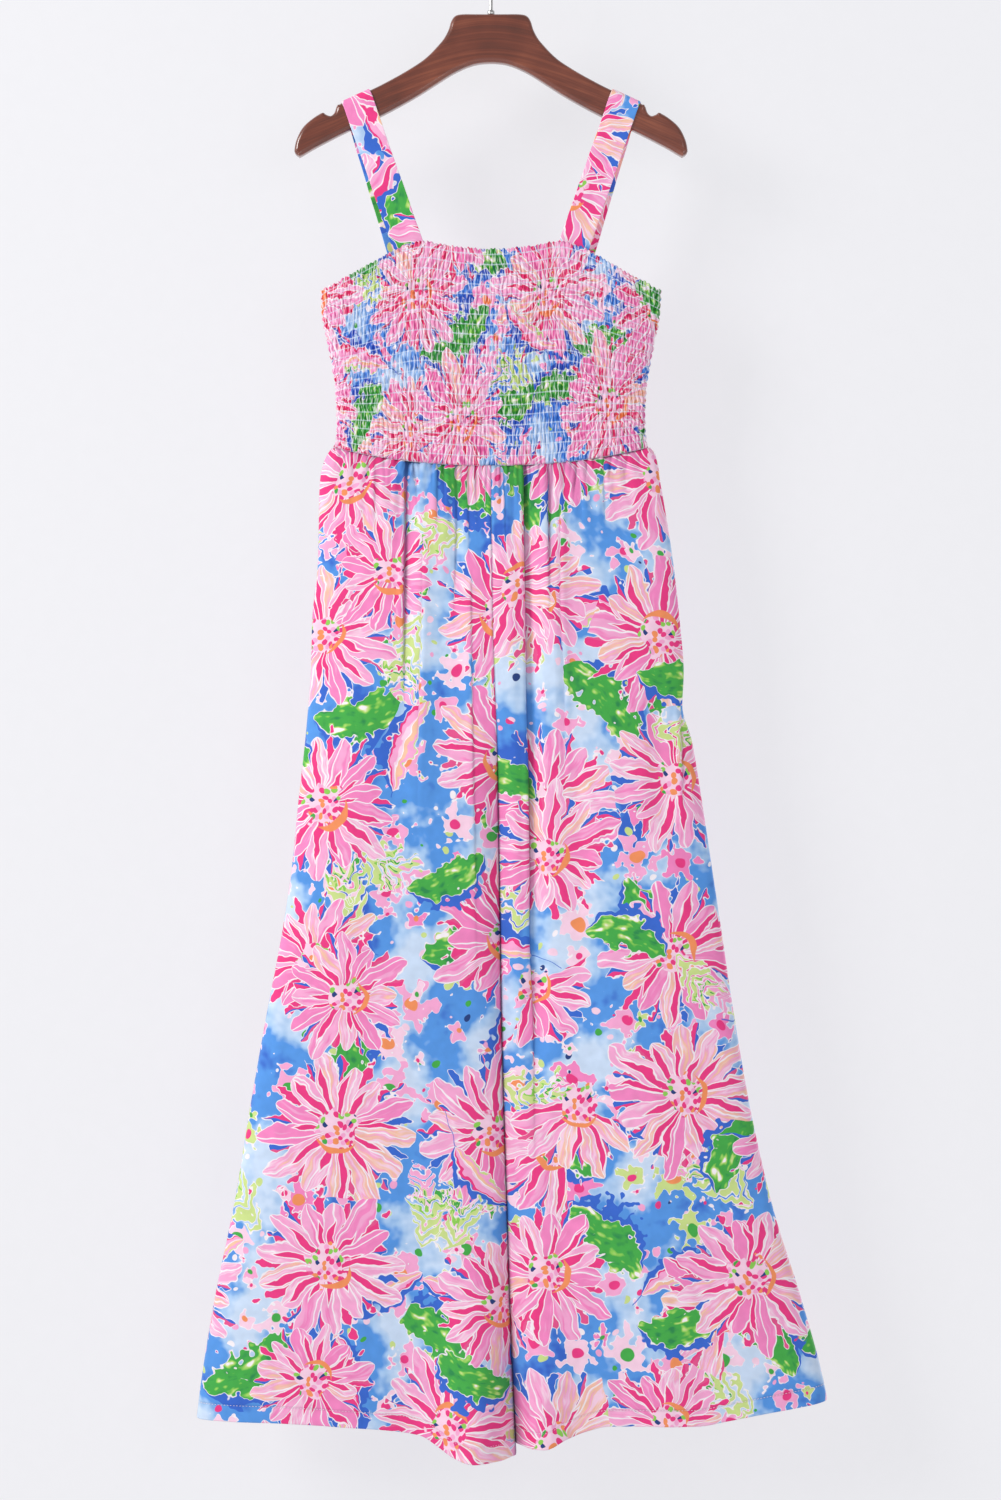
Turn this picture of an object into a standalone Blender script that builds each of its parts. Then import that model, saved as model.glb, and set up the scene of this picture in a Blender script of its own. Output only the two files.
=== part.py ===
# A wide-leg jumpsuit with a shirred bodice, hung by two straps on a wooden hanger.
# The tables and sizes below are in millimetres; every mesh is built in metres, +Z up,
# with the garment's front towards -Y. Left and right are as seen from the front.
# The origin is the inside top of the hanger's hook, where it bears on a rail.

import math

import bmesh
import bpy
import numpy as np

MM = 0.001


def table(columns, *rows):
    """Named columns over one row per section or fold."""
    return {name: np.array(values, float) for name, values in zip(columns, zip(*rows))}


# Cloth sizes
LEG_WALL = 1.5
BODICE_WALL = 1.2
STRAP_WALL = 1.6
HEM_DEPTH = 16.0
HEM_EXTRA = 0.8
SEAM_GAP = 0.3

# Shirring: cloth puffed out between rows of elastic thread
ELASTIC_ROWS = 21.5
PUFF_HEIGHT = 1.6
BODICE_COLUMNS = 21
BODICE_LINING_ROWS = 9

# Waist seam, from the centre front out to the side
WAIST_CENTRE_Z = -502.6
WAIST_RISE = 18.4
WAIST_POWER = 2.2

# Legs, by height: the side seams, the line between the legs, and half the tube's depth
LEG_SECTIONS = table(
    ("z", "left_side", "centre", "right_side", "half_depth"),
    (-1435.0, -286.0, 23.4, 329.5, 26.0),
    (-1392.0, -280.8, 21.3, 322.5, 26.0),
    (-1311.0, -267.7, 18.0, 300.7, 25.5),
    (-1217.0, -248.3, 15.2, 271.6, 25.0),
    (-1117.0, -231.8, 12.1, 249.3, 24.5),
    (-1020.0, -214.4, 9.7, 232.8, 24.0),
    (-942.0, -199.8, 8.7, 221.2, 23.5),
    (-884.0, -191.6, 7.8, 212.4, 23.0),
    (-826.0, -186.0, 6.8, 203.7, 22.5),
    (-768.0, -179.5, 5.8, 194.0, 22.0),
    (-734.5, -176.5, 4.6, 184.8, 21.5),
    (-703.0, -174.0, 3.4, 186.2, 21.0),
    (-651.0, -172.7, 1.6, 182.2, 20.0),
    (-593.0, -167.0, 1.0, 175.6, 18.0),
    (-535.0, -166.0, 0.0, 166.6, 15.5),
    (-515.0, -165.0, 0.0, 163.0, 14.0),
    (-500.0, -162.0, 0.0, 161.0, 12.6),
    (-490.0, -157.6, 0.0, 158.2, 11.8),
    (-484.0, -153.2, 0.0, 153.6, 11.2),
)
CROTCH_TOP_Z = -735.0
CROTCH_Z = -850.0
GROOVE_AT_HEM = 1.0

# Hem height across each leg, from the side seam (0) to the inside leg (1)
LEFT_HEM = table(
    ("across", "z"),
    (0.0, -1422.8),
    (0.24, -1423.8),
    (0.51, -1428.5),
    (0.70, -1435.5),
    (0.76, -1445.0),
    (0.81, -1454.0),
    (0.87, -1458.5),
    (0.93, -1458.0),
    (1.0, -1459.0),
)
RIGHT_HEM = table(
    ("across", "z"),
    (0.0, -1405.5),
    (0.11, -1410.5),
    (0.22, -1416.0),
    (0.33, -1422.0),
    (0.42, -1426.0),
    (0.70, -1426.5),
    (0.77, -1430.5),
    (0.84, -1437.5),
    (0.91, -1446.5),
    (1.0, -1447.5),
)

# Gathers drawn up at the waist seam: place, depth and length of each groove
GATHERS = table(
    ("x", "depth", "length"),
    (-140.0, 1.1, 60.0),
    (-127.0, 1.5, 80.0),
    (-115.5, 1.7, 95.0),
    (-104.0, 1.3, 70.0),
    (-94.0, 1.3, 65.0),
    (-82.5, 2.8, 110.0),
    (-72.0, 1.6, 80.0),
    (-59.5, 1.6, 95.0),
    (-47.5, 1.8, 90.0),
    (-35.0, 2.3, 140.0),
    (-23.5, 1.5, 85.0),
    (-12.0, 1.4, 85.0),
    (9.5, 1.4, 85.0),
    (19.5, 1.6, 100.0),
    (31.0, 2.8, 110.0),
    (42.0, 1.4, 80.0),
    (53.0, 2.3, 160.0),
    (69.5, 1.7, 95.0),
    (80.0, 1.5, 85.0),
    (92.0, 1.8, 90.0),
    (103.0, 1.6, 80.0),
    (114.5, 1.5, 75.0),
    (126.5, 1.5, 70.0),
    (140.0, 1.2, 60.0),
)
GATHER_WIDTH = 4.0

# Long folds: a line from (x_top, z_top) to (x_low, z_low), out (+) or in (-), and its width
FRONT_FOLDS = table(
    ("x_top", "z_top", "x_low", "z_low", "height", "width"),
    (-82.5, -500.0, -84.0, -800.0, -2.6, 9.0),
    (-65.0, -545.0, -71.0, -880.0, 3.4, 14.0),
    (-35.0, -500.0, -37.0, -660.0, -1.6, 8.0),
    (-19.5, -590.0, -14.0, -1030.0, 2.2, 12.0),
    (-120.0, -620.0, -150.0, -1120.0, 2.0, 30.0),
    (-60.0, -980.0, -85.0, -1440.0, -3.0, 32.0),
    (23.0, -540.0, 27.0, -1180.0, 2.2, 14.0),
    (33.0, -500.0, 46.0, -1210.0, -5.5, 10.0),
    (63.0, -530.0, 66.0, -760.0, 2.6, 11.0),
    (78.0, -740.0, 92.0, -1010.0, -1.8, 14.0),
    (160.0, -700.0, 168.0, -880.0, -3.4, 14.0),
    (120.0, -900.0, 175.0, -1420.0, 3.0, 34.0),
    (62.0, -1100.0, 72.0, -1300.0, -2.4, 16.0),
)
BACK_FOLDS = table(
    ("x_top", "z_top", "x_low", "z_low", "height", "width"),
    (-118.0, -500.0, -126.0, -760.0, -2.4, 10.0),
    (-92.0, -560.0, -104.0, -930.0, 3.0, 16.0),
    (-40.0, -500.0, -46.0, -1060.0, -4.2, 11.0),
    (-130.0, -860.0, -178.0, -1420.0, 2.8, 34.0),
    (28.0, -520.0, 31.0, -820.0, 2.4, 12.0),
    (52.0, -500.0, 62.0, -1120.0, -4.6, 11.0),
    (96.0, -540.0, 104.0, -790.0, 2.4, 14.0),
    (112.0, -820.0, 150.0, -1420.0, -2.6, 32.0),
)

# Hem lobes: where the inside of each leg rolls forward, across the leg
LOBES = table(
    ("side", "across", "forward", "width", "start"),
    (-1.0, 0.88, 24.0, 0.10, 0.72),
    (1.0, 0.91, 17.0, 0.085, 0.76),
)

# Bodice: top edge by distance from the centre, half width by height of the side seam
BODICE_TOP = table(
    ("out", "z"),
    (0.0, -294.1),
    (33.0, -291.8),
    (66.0, -286.5),
    (82.0, -289.5),
    (98.0, -297.0),
    (130.0, -314.5),
    (163.4, -332.0),
)
BODICE_SIDES = table(
    ("z", "half_width", "half_depth"),
    (-484.2, 152.0, 11.0),
    (-480.3, 149.9, 11.2),
    (-462.9, 148.0, 11.8),
    (-432.8, 148.9, 12.4),
    (-403.7, 152.8, 12.6),
    (-377.5, 158.0, 12.4),
    (-357.0, 162.0, 12.0),
    (-332.0, 163.4, 11.6),
)

# Hanger: the right half's edge, clockwise from the top centre
HANGER_EDGE = table(
    ("x", "z"),
    (12.0, -64.2),
    (27.0, -64.2),
    (34.5, -65.8),
    (38.5, -71.0),
    (41.3, -79.7),
    (46.0, -88.3),
    (52.4, -95.9),
    (60.0, -103.8),
    (68.6, -110.8),
    (84.9, -121.0),
    (101.3, -130.0),
    (114.8, -136.8),
    (144.2, -150.3),
    (149.2, -153.2),
    (151.6, -159.5),
    (155.2, -162.7),
    (159.4, -161.6),
    (163.9, -159.9),
    (174.7, -166.7),
    (182.9, -174.8),
    (188.4, -185.8),
    (190.5, -195.5),
    (189.6, -199.2),
    (187.0, -201.4),
    (183.6, -201.2),
    (169.3, -192.9),
    (139.4, -177.6),
    (104.0, -161.2),
    (74.0, -144.9),
    (52.4, -131.3),
    (35.9, -121.0),
    (19.6, -113.7),
    (7.0, -111.2),
)
HANGER_EDGE_ROUND = table(
    ("inset", "y"),
    (4.2, -7.0),
    (1.3, -5.8),
    (0.0, -3.0),
    (0.0, 3.0),
    (1.3, 5.8),
    (4.2, 7.0),
)

# Straps
STRAP_WIDTH = 30.0
STRAP_X = 131.0
STRAP_TUCK = 15.0
STRAP_FOOT_X = 81.5
STRAP_BACK_FOOT_X = 88.0
STRAP_FOOT_Z = -285.4
STRAP_FOOT_Y = 8.4
STRAP_BACK_FOOT_Y = 8.0
STRAP_OVER = table(
    ("y", "lift"),
    (-8.1, -4.6),
    (-7.7, -2.2),
    (-6.3, -0.2),
    (-3.2, 1.1),
    (0.0, 1.2),
    (3.2, 1.1),
    (6.3, -0.2),
    (7.7, -2.2),
    (8.1, -4.6),
)
STRAP_FALL = (0.12, 0.3, 0.5, 0.7, 0.86, 1.0)

# Hook
HOOK_WIRE = 1.8
HOOK_BOW = 20.0
HOOK_FOOT_Z = -63.9
HOOK_COLLAR = 3.6
HOOK_COLLAR_HEIGHT = 4.0


def smooth(t):
    t = np.clip(t, 0.0, 1.0)
    return t * t * (3.0 - 2.0 * t)


def along(places, values, at):
    """A smooth curve through the values that never overshoots them."""
    step = np.diff(places)
    rise = np.diff(values) / step
    slope = np.zeros(len(places))
    slope[0], slope[-1] = rise[0], rise[-1]
    same = rise[:-1] * rise[1:] > 0
    slope[1:-1][same] = 2 * rise[:-1][same] * rise[1:][same] / (rise[:-1] + rise[1:])[same]
    i = np.clip(np.searchsorted(places, at) - 1, 0, len(step) - 1)
    t = np.clip((at - places[i]) / step[i], -0.5, 1.5)
    a = values[i] + step[i] * slope[i] * t
    b = 3 * (values[i + 1] - values[i]) - step[i] * (2 * slope[i] + slope[i + 1])
    c = 2 * (values[i] - values[i + 1]) + step[i] * (slope[i] + slope[i + 1])
    return a + t * t * (b + t * c)


def oval(across, power):
    """Depth across a flattened tube: 0 at both edges, 1 in the middle."""
    return (1.0 - np.abs(2.0 * across - 1.0) ** power) ** (1.0 / power)


def half_oval(across, power):
    """Depth from the side (0) to the middle of the body (1)."""
    return (1.0 - (1.0 - across) ** power) ** (1.0 / power)


def long_folds(folds, x, z):
    total = np.zeros(np.broadcast(x, z).shape)
    for x0, z0, x1, z1, height, width in zip(*folds.values()):
        t = (z0 - z) / (z0 - z1)
        strength = smooth(t / 0.2) * smooth((1.0 - t) / 0.3)
        if z1 < -1400.0:
            strength = smooth(t / 0.35)
        line = x0 + (x1 - x0) * np.clip(t, 0.0, 1.0)
        total = total + height * strength * np.exp(-(((x - line) / width) ** 2))
    return total


def gathers(side, across, below):
    """Grooves that fan out from the waist seam and fade down the leg."""
    total = np.zeros(np.broadcast(across, below).shape)
    half_waist = 157.0
    for x, depth, length in zip(*GATHERS.values()):
        if x * side < 0:
            continue
        place = 1.0 - abs(x) / half_waist
        d = (across - place) * half_waist / GATHER_WIDTH
        total = total - depth * np.exp(-d * d) * smooth(1.0 - below / length)
    return total


def leg_point(side, face, across, down):
    """A point of a leg panel: side -1 left, +1 right; face -1 front, +1 back."""
    hem = LEFT_HEM if side < 0 else RIGHT_HEM
    z_waist = WAIST_CENTRE_Z - SEAM_GAP + WAIST_RISE * (1.0 - across) ** WAIST_POWER
    z_hem = along(hem["across"], hem["z"], across)
    if face > 0:
        z_hem = z_hem + 6.0 * smooth(across / 0.3) * smooth((1.0 - across) / 0.3)
    z = z_waist + (z_hem - z_waist) * down
    z_side = WAIST_CENTRE_Z + WAIST_RISE + (hem["z"][0] - WAIST_CENTRE_Z - WAIST_RISE) * down
    z_inside = WAIST_CENTRE_Z + (hem["z"][-1] - WAIST_CENTRE_Z) * down
    rows = LEG_SECTIONS
    x_side = along(rows["z"], rows["left_side" if side < 0 else "right_side"], z_side)
    turn = smooth((CROTCH_TOP_Z - z_inside) / (CROTCH_TOP_Z - CROTCH_Z))
    groove = 0.5 * SEAM_GAP + 0.62 * LEG_WALL * np.sin(0.5 * math.pi * turn)
    groove = groove + GROOVE_AT_HEM * smooth((-1150.0 - z_inside) / 300.0)
    x_inside = along(rows["z"], rows["centre"], z_inside) + side * groove
    x = x_side + (x_inside - x_side) * across
    bulge = (1.0 - turn) * half_oval(across, 2.5) + turn * oval(across, 3.0)
    depth = along(rows["z"], rows["half_depth"], z)
    clear = smooth(across / 0.06) * smooth((1.0 - across) / 0.05)
    folds = long_folds(FRONT_FOLDS if face < 0 else BACK_FOLDS, x, z)
    folds = folds + gathers(side, across, z_waist - z)
    for lobe_side, place, forward, width, start in zip(*LOBES.values()):
        if lobe_side == side:
            reach = forward if face < 0 else 0.25 * forward
            shape = np.exp(-(((across - place) / width) ** 2))
            folds = folds + reach * shape * smooth((down - start) / (1.0 - start)) ** 1.5
    y = 0.5 * SEAM_GAP + (depth - 0.5 * SEAM_GAP) * bulge + folds * clear
    return np.stack([x, face * y, z], -1), turn


def bodice_point(face, across, down):
    """A point of a bodice panel: across 0 left side, 1 right side."""
    out = np.abs(2.0 * across - 1.0)
    z_top = along(BODICE_TOP["out"], BODICE_TOP["z"], out * BODICE_TOP["out"][-1])
    z_waist = WAIST_CENTRE_Z + WAIST_RISE * out**WAIST_POWER
    z = z_top + (z_waist - z_top) * down
    z_side = BODICE_TOP["z"][-1] + (WAIST_CENTRE_Z + WAIST_RISE - BODICE_TOP["z"][-1]) * down
    half_width = along(BODICE_SIDES["z"], BODICE_SIDES["half_width"], z_side)
    half_depth = along(BODICE_SIDES["z"], BODICE_SIDES["half_depth"], z_side)
    x = (2.0 * across - 1.0) * half_width
    y = 0.5 * SEAM_GAP + (half_depth - 0.5 * SEAM_GAP) * oval(across, 2.5)
    return np.stack([x, face * y, z], -1)


def puffs(down):
    return np.abs(np.sin(math.pi * (ELASTIC_ROWS * down + 0.5)))


def normals_of(point, across, down, face):
    """Unit normals of a surface given by point(across, down), facing out of the garment."""
    step = 1e-4
    a0, a1 = np.clip(across - step, 0, 1), np.clip(across + step, 0, 1)
    d0, d1 = np.clip(down - step, 0, 1), np.clip(down + step, 0, 1)
    normal = np.cross(point(a1, down) - point(a0, down), point(across, d1) - point(across, d0))
    normal /= np.linalg.norm(normal, axis=-1, keepdims=True)
    return normal * np.where(normal[..., 1:2] * face < 0, -1.0, 1.0)


def level_ends(normals):
    """Keeps the first and last rows' rims square to the cloth, with no tilt up or down."""
    for row in (0, -1):
        normals[row, :, 2] = 0.0
        normals[row] /= np.linalg.norm(normals[row], axis=-1, keepdims=True)


def material(name, colour, roughness, metallic):
    made = bpy.data.materials.new(name)
    made.use_nodes = True
    shader = made.node_tree.nodes["Principled BSDF"]
    shader.inputs["Base Color"].default_value = (*colour, 1.0)
    shader.inputs["Roughness"].default_value = roughness
    shader.inputs["Metallic"].default_value = metallic
    return made


def add_object(name, bm, slot):
    bmesh.ops.recalc_face_normals(bm, faces=bm.faces)
    if bm.calc_volume(signed=True) < 0:
        bmesh.ops.reverse_faces(bm, faces=bm.faces)
    mesh = bpy.data.meshes.new(name)
    bm.to_mesh(mesh)
    bm.free()
    mesh.materials.append(slot)
    obj = bpy.data.objects.new(name, mesh)
    bpy.context.scene.collection.objects.link(obj)


def add_grid(bm, points):
    return [[bm.verts.new(p * MM) for p in row] for row in points]


def skin(bm, grid):
    for upper, lower in zip(grid, grid[1:]):
        for i in range(len(upper) - 1):
            bm.faces.new((upper[i], upper[i + 1], lower[i + 1], lower[i]))


def closed_wall(name, outer, inner, slot):
    """Two sheets of points joined round all four edges into one closed wall."""
    bm = bmesh.new()
    outside, inside = add_grid(bm, outer), add_grid(bm, inner)
    skin(bm, outside)
    skin(bm, inside)
    skin(bm, [outside[0], inside[0]])
    skin(bm, [outside[-1], inside[-1]])
    for end in (0, -1):
        out_edge = [row[end] for row in outside]
        in_edge = [row[end] for row in inside]
        if len(outside) == len(inside):
            skin(bm, [out_edge, in_edge])
        else:
            bm.faces.new(out_edge + in_edge[::-1])
    add_object(name, bm, slot)


def leg_columns(side):
    """Panel columns on each gather's groove and ridge, closer at the two edges."""
    grooves = np.sort(1.0 - np.abs(GATHERS["x"][GATHERS["x"] * side > 0]) / 157.0)
    ridges = 0.5 * (grooves[1:] + grooves[:-1])
    edges = [0.0, 0.012, 0.035, 0.075, 0.965, 0.99, 1.0]
    return np.sort(np.concatenate([edges, grooves, ridges]))


def leg_rows():
    hem = 1.0 - HEM_DEPTH / 940.0
    upper = [0.0, 0.02, 0.045, 0.075, 0.115, 0.17]
    lower = [0.24, 0.29, 0.335, 0.38, 0.43, 0.5, 0.58, 0.66, 0.74, 0.82, 0.89, 0.945]
    return np.array(upper + lower + [hem - 0.001, hem, 1.0])


def leg_panel(name, side, face, slot):
    across, down = np.meshgrid(leg_columns(side), leg_rows())
    points, turn = leg_point(side, face, across, down)
    normals = normals_of(lambda a, d: leg_point(side, face, a, d)[0], across, down, face)
    angle = 0.5 * math.pi * turn[:, -1]
    normals[:, 0] = (side, 0.0, 0.0)
    normals[:, -1] = np.stack([-side * np.sin(angle), face * np.cos(angle), 0 * angle], -1)
    level_ends(normals)
    inward = np.full(down.shape, 0.5 * LEG_WALL)
    inward[-2:] += HEM_EXTRA
    inward[-2:, 0] -= HEM_EXTRA
    inward[-2:, -1] -= HEM_EXTRA
    outer = points + 0.5 * LEG_WALL * normals
    closed_wall(name, outer, points - inward[..., None] * normals, slot)


def bodice_panel(name, face, slot):
    count = int(2 * ELASTIC_ROWS) + 1
    edges = 0.5 - 0.5 * np.cos(np.linspace(0.0, math.pi, BODICE_COLUMNS))
    columns = 0.35 * edges + 0.65 * np.linspace(0.0, 1.0, BODICE_COLUMNS)

    def sheet(rows, offset):
        across, down = np.meshgrid(columns, rows)
        normals = normals_of(lambda a, d: bodice_point(face, a, d), across, down, face)
        normals[:, 0] = (-1.0, 0.0, 0.0)
        normals[:, -1] = (1.0, 0.0, 0.0)
        level_ends(normals)
        return bodice_point(face, across, down) + offset(down)[..., None] * normals

    outer = sheet(np.linspace(0.0, 1.0, count), lambda d: 0.5 * BODICE_WALL + PUFF_HEIGHT * puffs(d))
    inner = sheet(np.linspace(0.0, 1.0, BODICE_LINING_ROWS), lambda d: 0 * d - 0.5 * BODICE_WALL)
    closed_wall(name, outer, inner, slot)


def ring_tube(name, rings, slot):
    """Rings of points joined end to end and capped."""
    bm = bmesh.new()
    grid = add_grid(bm, rings)
    for row in grid:
        row.append(row[0])
    skin(bm, grid)
    for row in (grid[0], grid[-1]):
        bm.faces.new(row[:-1])
    add_object(name, bm, slot)


def arm_frame(side):
    """Where the strap crosses the hanger: the point on its edge, outward along it and up."""
    x0, x1, z0, z1 = 114.8, 144.2, -136.8, -150.3
    slope = (z1 - z0) / (x1 - x0)
    wide = np.array([side, 0.0, slope]) / math.hypot(1.0, slope)
    up = np.array([-side * slope, 0.0, 1.0]) / math.hypot(1.0, slope)
    return np.array([side * STRAP_X, 0.0, z0 + (STRAP_X - x0) * slope]), wide, up


def strap_leg(side, start, wide, foot_x, foot_y):
    """Centres and width directions from the hanger down to the end inside the bodice."""
    foot = np.array([side * foot_x, foot_y, STRAP_FOOT_Z])
    fall = (foot - start) * (1.0, 0.0, 1.0)
    fall /= np.linalg.norm(fall)
    flat = side * np.array([-fall[2], 0.0, fall[0]])
    centres = [start + (foot - start) * t for t in STRAP_FALL] + [foot + STRAP_TUCK * fall]
    turned = [wide + (flat - wide) * smooth(t) for t in STRAP_FALL] + [flat]
    return centres, [w / np.linalg.norm(w) for w in turned]


def strap(name, side, slot):
    edge, wide, up = arm_frame(side)
    over = [edge + up * h + np.array([0, y, 0]) for y, h in zip(*STRAP_OVER.values())]
    front, front_wide = strap_leg(side, over[0], wide, STRAP_FOOT_X, -STRAP_FOOT_Y)
    back, back_wide = strap_leg(side, over[-1], wide, STRAP_BACK_FOOT_X, STRAP_BACK_FOOT_Y)
    centres = np.array(front[::-1] + over + back)
    wides = np.array(front_wide[::-1] + [wide] * len(over) + back_wide)
    steps = np.gradient(centres, axis=0)
    out = np.cross(steps, wides)
    out /= np.linalg.norm(out, axis=1, keepdims=True)
    w, t = 0.5 * STRAP_WIDTH, 0.5 * STRAP_WALL
    corners = ((-w + 0.5, -t), (w - 0.5, -t), (w, 0.0), (w - 0.5, t), (-w + 0.5, t), (-w, 0.0))
    rings = np.stack([centres + a * wides + b * out for a, b in corners], axis=1)
    ring_tube(name, rings, slot)


def hanger(name, slot):
    right = np.stack([HANGER_EDGE["x"], HANGER_EDGE["z"]], -1)
    left = right[::-1] * (-1.0, 1.0)
    edge = np.concatenate([right, left])
    ahead = np.roll(edge, -1, 0) - edge
    ahead /= np.linalg.norm(ahead, axis=1, keepdims=True)
    inward = np.stack([ahead[:, 1], -ahead[:, 0]], -1)
    inward = inward + np.roll(inward, 1, 0)
    inward /= np.linalg.norm(inward, axis=1, keepdims=True)
    rings = []
    for inset, y in zip(*HANGER_EDGE_ROUND.values()):
        flat = edge + inset * inward
        rings.append(np.stack([flat[:, 0], np.full(len(flat), y), flat[:, 1]], -1))
    ring_tube(name, rings, slot)


def hook_path():
    """The hook's centre line, from its foot up and round over the rail."""
    bow_z = HOOK_WIRE - HOOK_BOW
    base = HOOK_FOOT_Z
    collar = HOOK_COLLAR_HEIGHT
    stem = [(0.0, base), (0.0, base + 0.6), (0.0, base + collar - 0.8), (0.0, base + collar)]
    bend = [(0.0, -54.0), (0.0, -48.5), (1.6, -44.6), (5.4, -40.8), (10.0, -37.2)]
    turn = np.radians(np.linspace(-42.0, 188.0, 20))
    bow = [(HOOK_BOW * math.cos(a), bow_z + HOOK_BOW * math.sin(a)) for a in turn]
    return np.array(stem + bend + bow)


def hook(name, slot):
    path = hook_path()
    steps = np.gradient(path, axis=0)
    steps /= np.linalg.norm(steps, axis=1, keepdims=True)
    side_on = np.stack([steps[:, 1], -steps[:, 0]], -1)
    radius = np.full(len(path), HOOK_WIRE)
    radius[:4] = (HOOK_COLLAR - 0.5, HOOK_COLLAR, HOOK_COLLAR, HOOK_WIRE)
    radius[-1] = HOOK_WIRE * 0.6
    turns = np.linspace(0.0, 2.0 * math.pi, 10, endpoint=False)
    rings = []
    for (x, z), (nx, nz), r in zip(path, side_on, radius):
        ring = [(x + nx * r * math.cos(a), r * math.sin(a), z + nz * r * math.cos(a)) for a in turns]
        rings.append(ring)
    ring_tube(name, np.array(rings), slot)


for old in list(bpy.data.objects):
    bpy.data.objects.remove(old)

cloth = material("printed_cloth", (0.86, 0.42, 0.62), 0.8, 0.0)
wood = material("hanger_wood", (0.16, 0.045, 0.025), 0.35, 0.0)
steel = material("hook_steel", (0.62, 0.62, 0.63), 0.25, 1.0)

bodice_panel("bodice_front", -1, cloth)
bodice_panel("bodice_back", 1, cloth)
for side_name, side in (("left", -1), ("right", 1)):
    leg_panel("leg_front_" + side_name, side, -1, cloth)
    leg_panel("leg_back_" + side_name, side, 1, cloth)
    strap("strap_" + side_name, side, cloth)
hanger("hanger_wood", wood)
hook("hanger_hook", steel)
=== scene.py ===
import math

import bmesh
import bpy
import numpy as np
from mathutils import Matrix, Vector


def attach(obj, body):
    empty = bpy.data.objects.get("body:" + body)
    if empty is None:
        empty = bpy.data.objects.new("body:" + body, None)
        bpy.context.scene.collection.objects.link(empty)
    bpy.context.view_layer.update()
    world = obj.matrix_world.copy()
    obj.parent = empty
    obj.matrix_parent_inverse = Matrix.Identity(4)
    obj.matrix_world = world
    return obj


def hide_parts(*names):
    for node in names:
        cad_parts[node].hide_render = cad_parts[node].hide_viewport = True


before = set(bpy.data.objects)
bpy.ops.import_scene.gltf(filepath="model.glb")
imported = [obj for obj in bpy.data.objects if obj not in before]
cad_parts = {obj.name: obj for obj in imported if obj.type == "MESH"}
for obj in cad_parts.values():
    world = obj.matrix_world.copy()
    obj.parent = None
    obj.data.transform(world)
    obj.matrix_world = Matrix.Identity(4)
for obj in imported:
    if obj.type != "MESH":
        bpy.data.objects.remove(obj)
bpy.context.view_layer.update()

# The garment and hanger are worked out in millimetres and made in metres. The studio is in metres.
mm = 0.001
print("frame loaded")


def table(columns, *rows):
    return {name: np.array(values, float) for name, values in zip(columns, zip(*rows))}


def smooth(t):
    t = np.clip(t, 0.0, 1.0)
    return t * t * (3.0 - 2.0 * t)


def bell(apart, width):
    return np.exp(-((apart / width) ** 2))


def within(t, start, end):
    # 1 inside, falling smoothly to 0 over these shares at the two ends
    return smooth(t / start) * smooth((1.0 - t) / end)


def along(places, values, at):
    # a smooth curve through the values that never overshoots them
    step = np.diff(places)
    rise = np.diff(values) / step
    slope = np.zeros(len(places))
    slope[0], slope[-1] = rise[0], rise[-1]
    same = rise[:-1] * rise[1:] > 0
    slope[1:-1][same] = 2 * rise[:-1][same] * rise[1:][same] / (rise[:-1] + rise[1:])[same]
    i = np.clip(np.searchsorted(places, at) - 1, 0, len(step) - 1)
    t = np.clip((at - places[i]) / step[i], -0.5, 1.5)
    a = values[i] + step[i] * slope[i] * t
    b = 3 * (values[i + 1] - values[i]) - step[i] * (2 * slope[i] + slope[i + 1])
    c = 2 * (values[i] - values[i + 1]) + step[i] * (slope[i] + slope[i + 1])
    return a + t * t * (b + t * c)


def ripple(at, scale, seed):
    # a smooth random wave from -1 to 1, the same on every run
    rng = np.random.default_rng(seed)
    knots = rng.uniform(-1.0, 1.0, 512)
    place = np.asarray(at) / scale + 200.0
    i = np.floor(place).astype(int)
    t = smooth(place - i)
    return knots[i % 512] * (1 - t) + knots[(i + 1) % 512] * t


def ripple2(a, b, scaleA, scaleB, seed):
    # the same over two directions
    rng = np.random.default_rng(seed)
    knots = rng.uniform(-1.0, 1.0, (128, 128))
    pa, pb = np.asarray(a) / scaleA + 60.0, np.asarray(b) / scaleB + 60.0
    i, j = np.floor(pa).astype(int), np.floor(pb).astype(int)
    s, t = smooth(pa - i), smooth(pb - j)
    i0, i1, j0, j1 = i % 128, (i + 1) % 128, j % 128, (j + 1) % 128
    low = knots[i0, j0] * (1 - s) + knots[i1, j0] * s
    high = knots[i0, j1] * (1 - s) + knots[i1, j1] * s
    return low * (1 - t) + high * t


def oval(across, power):
    return (1.0 - np.abs(2.0 * across - 1.0) ** power) ** (1.0 / power)


def halfOval(across, power):
    return (1.0 - (1.0 - across) ** power) ** (1.0 / power)


def linear(code):
    # an sRGB hex colour as linear numbers
    parts = [int(code[i : i + 2], 16) / 255.0 for i in (0, 2, 4)]
    return (*[c / 12.92 if c <= 0.04045 else ((c + 0.055) / 1.055) ** 2.4 for c in parts], 1.0)


def feed(node, values):
    # joins sockets to a node's inputs, and sets its other inputs
    for key, value in values.items():
        if isinstance(value, bpy.types.NodeSocket):
            node.id_data.links.new(value, node.inputs[key])
        else:
            node.inputs[key].default_value = value


def put(kind, *inputs, tree=None, named=None, out=0, **settings):
    # adds one node to the tree that its inputs come from, sets it, and gives back one of its outputs
    values = {**dict(enumerate(inputs)), **(named or {})}
    tree = tree or next(value.id_data for value in values.values() if isinstance(value, bpy.types.NodeSocket))
    node = tree.nodes.new("ShaderNode" + kind)
    for key, value in settings.items():
        setattr(node, key, value)
    feed(node, values)
    return node.outputs[out]


def calc(operation, *inputs):
    return put("Math", *inputs, operation=operation)


def add(a, b):
    return calc("ADD", a, b)


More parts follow.
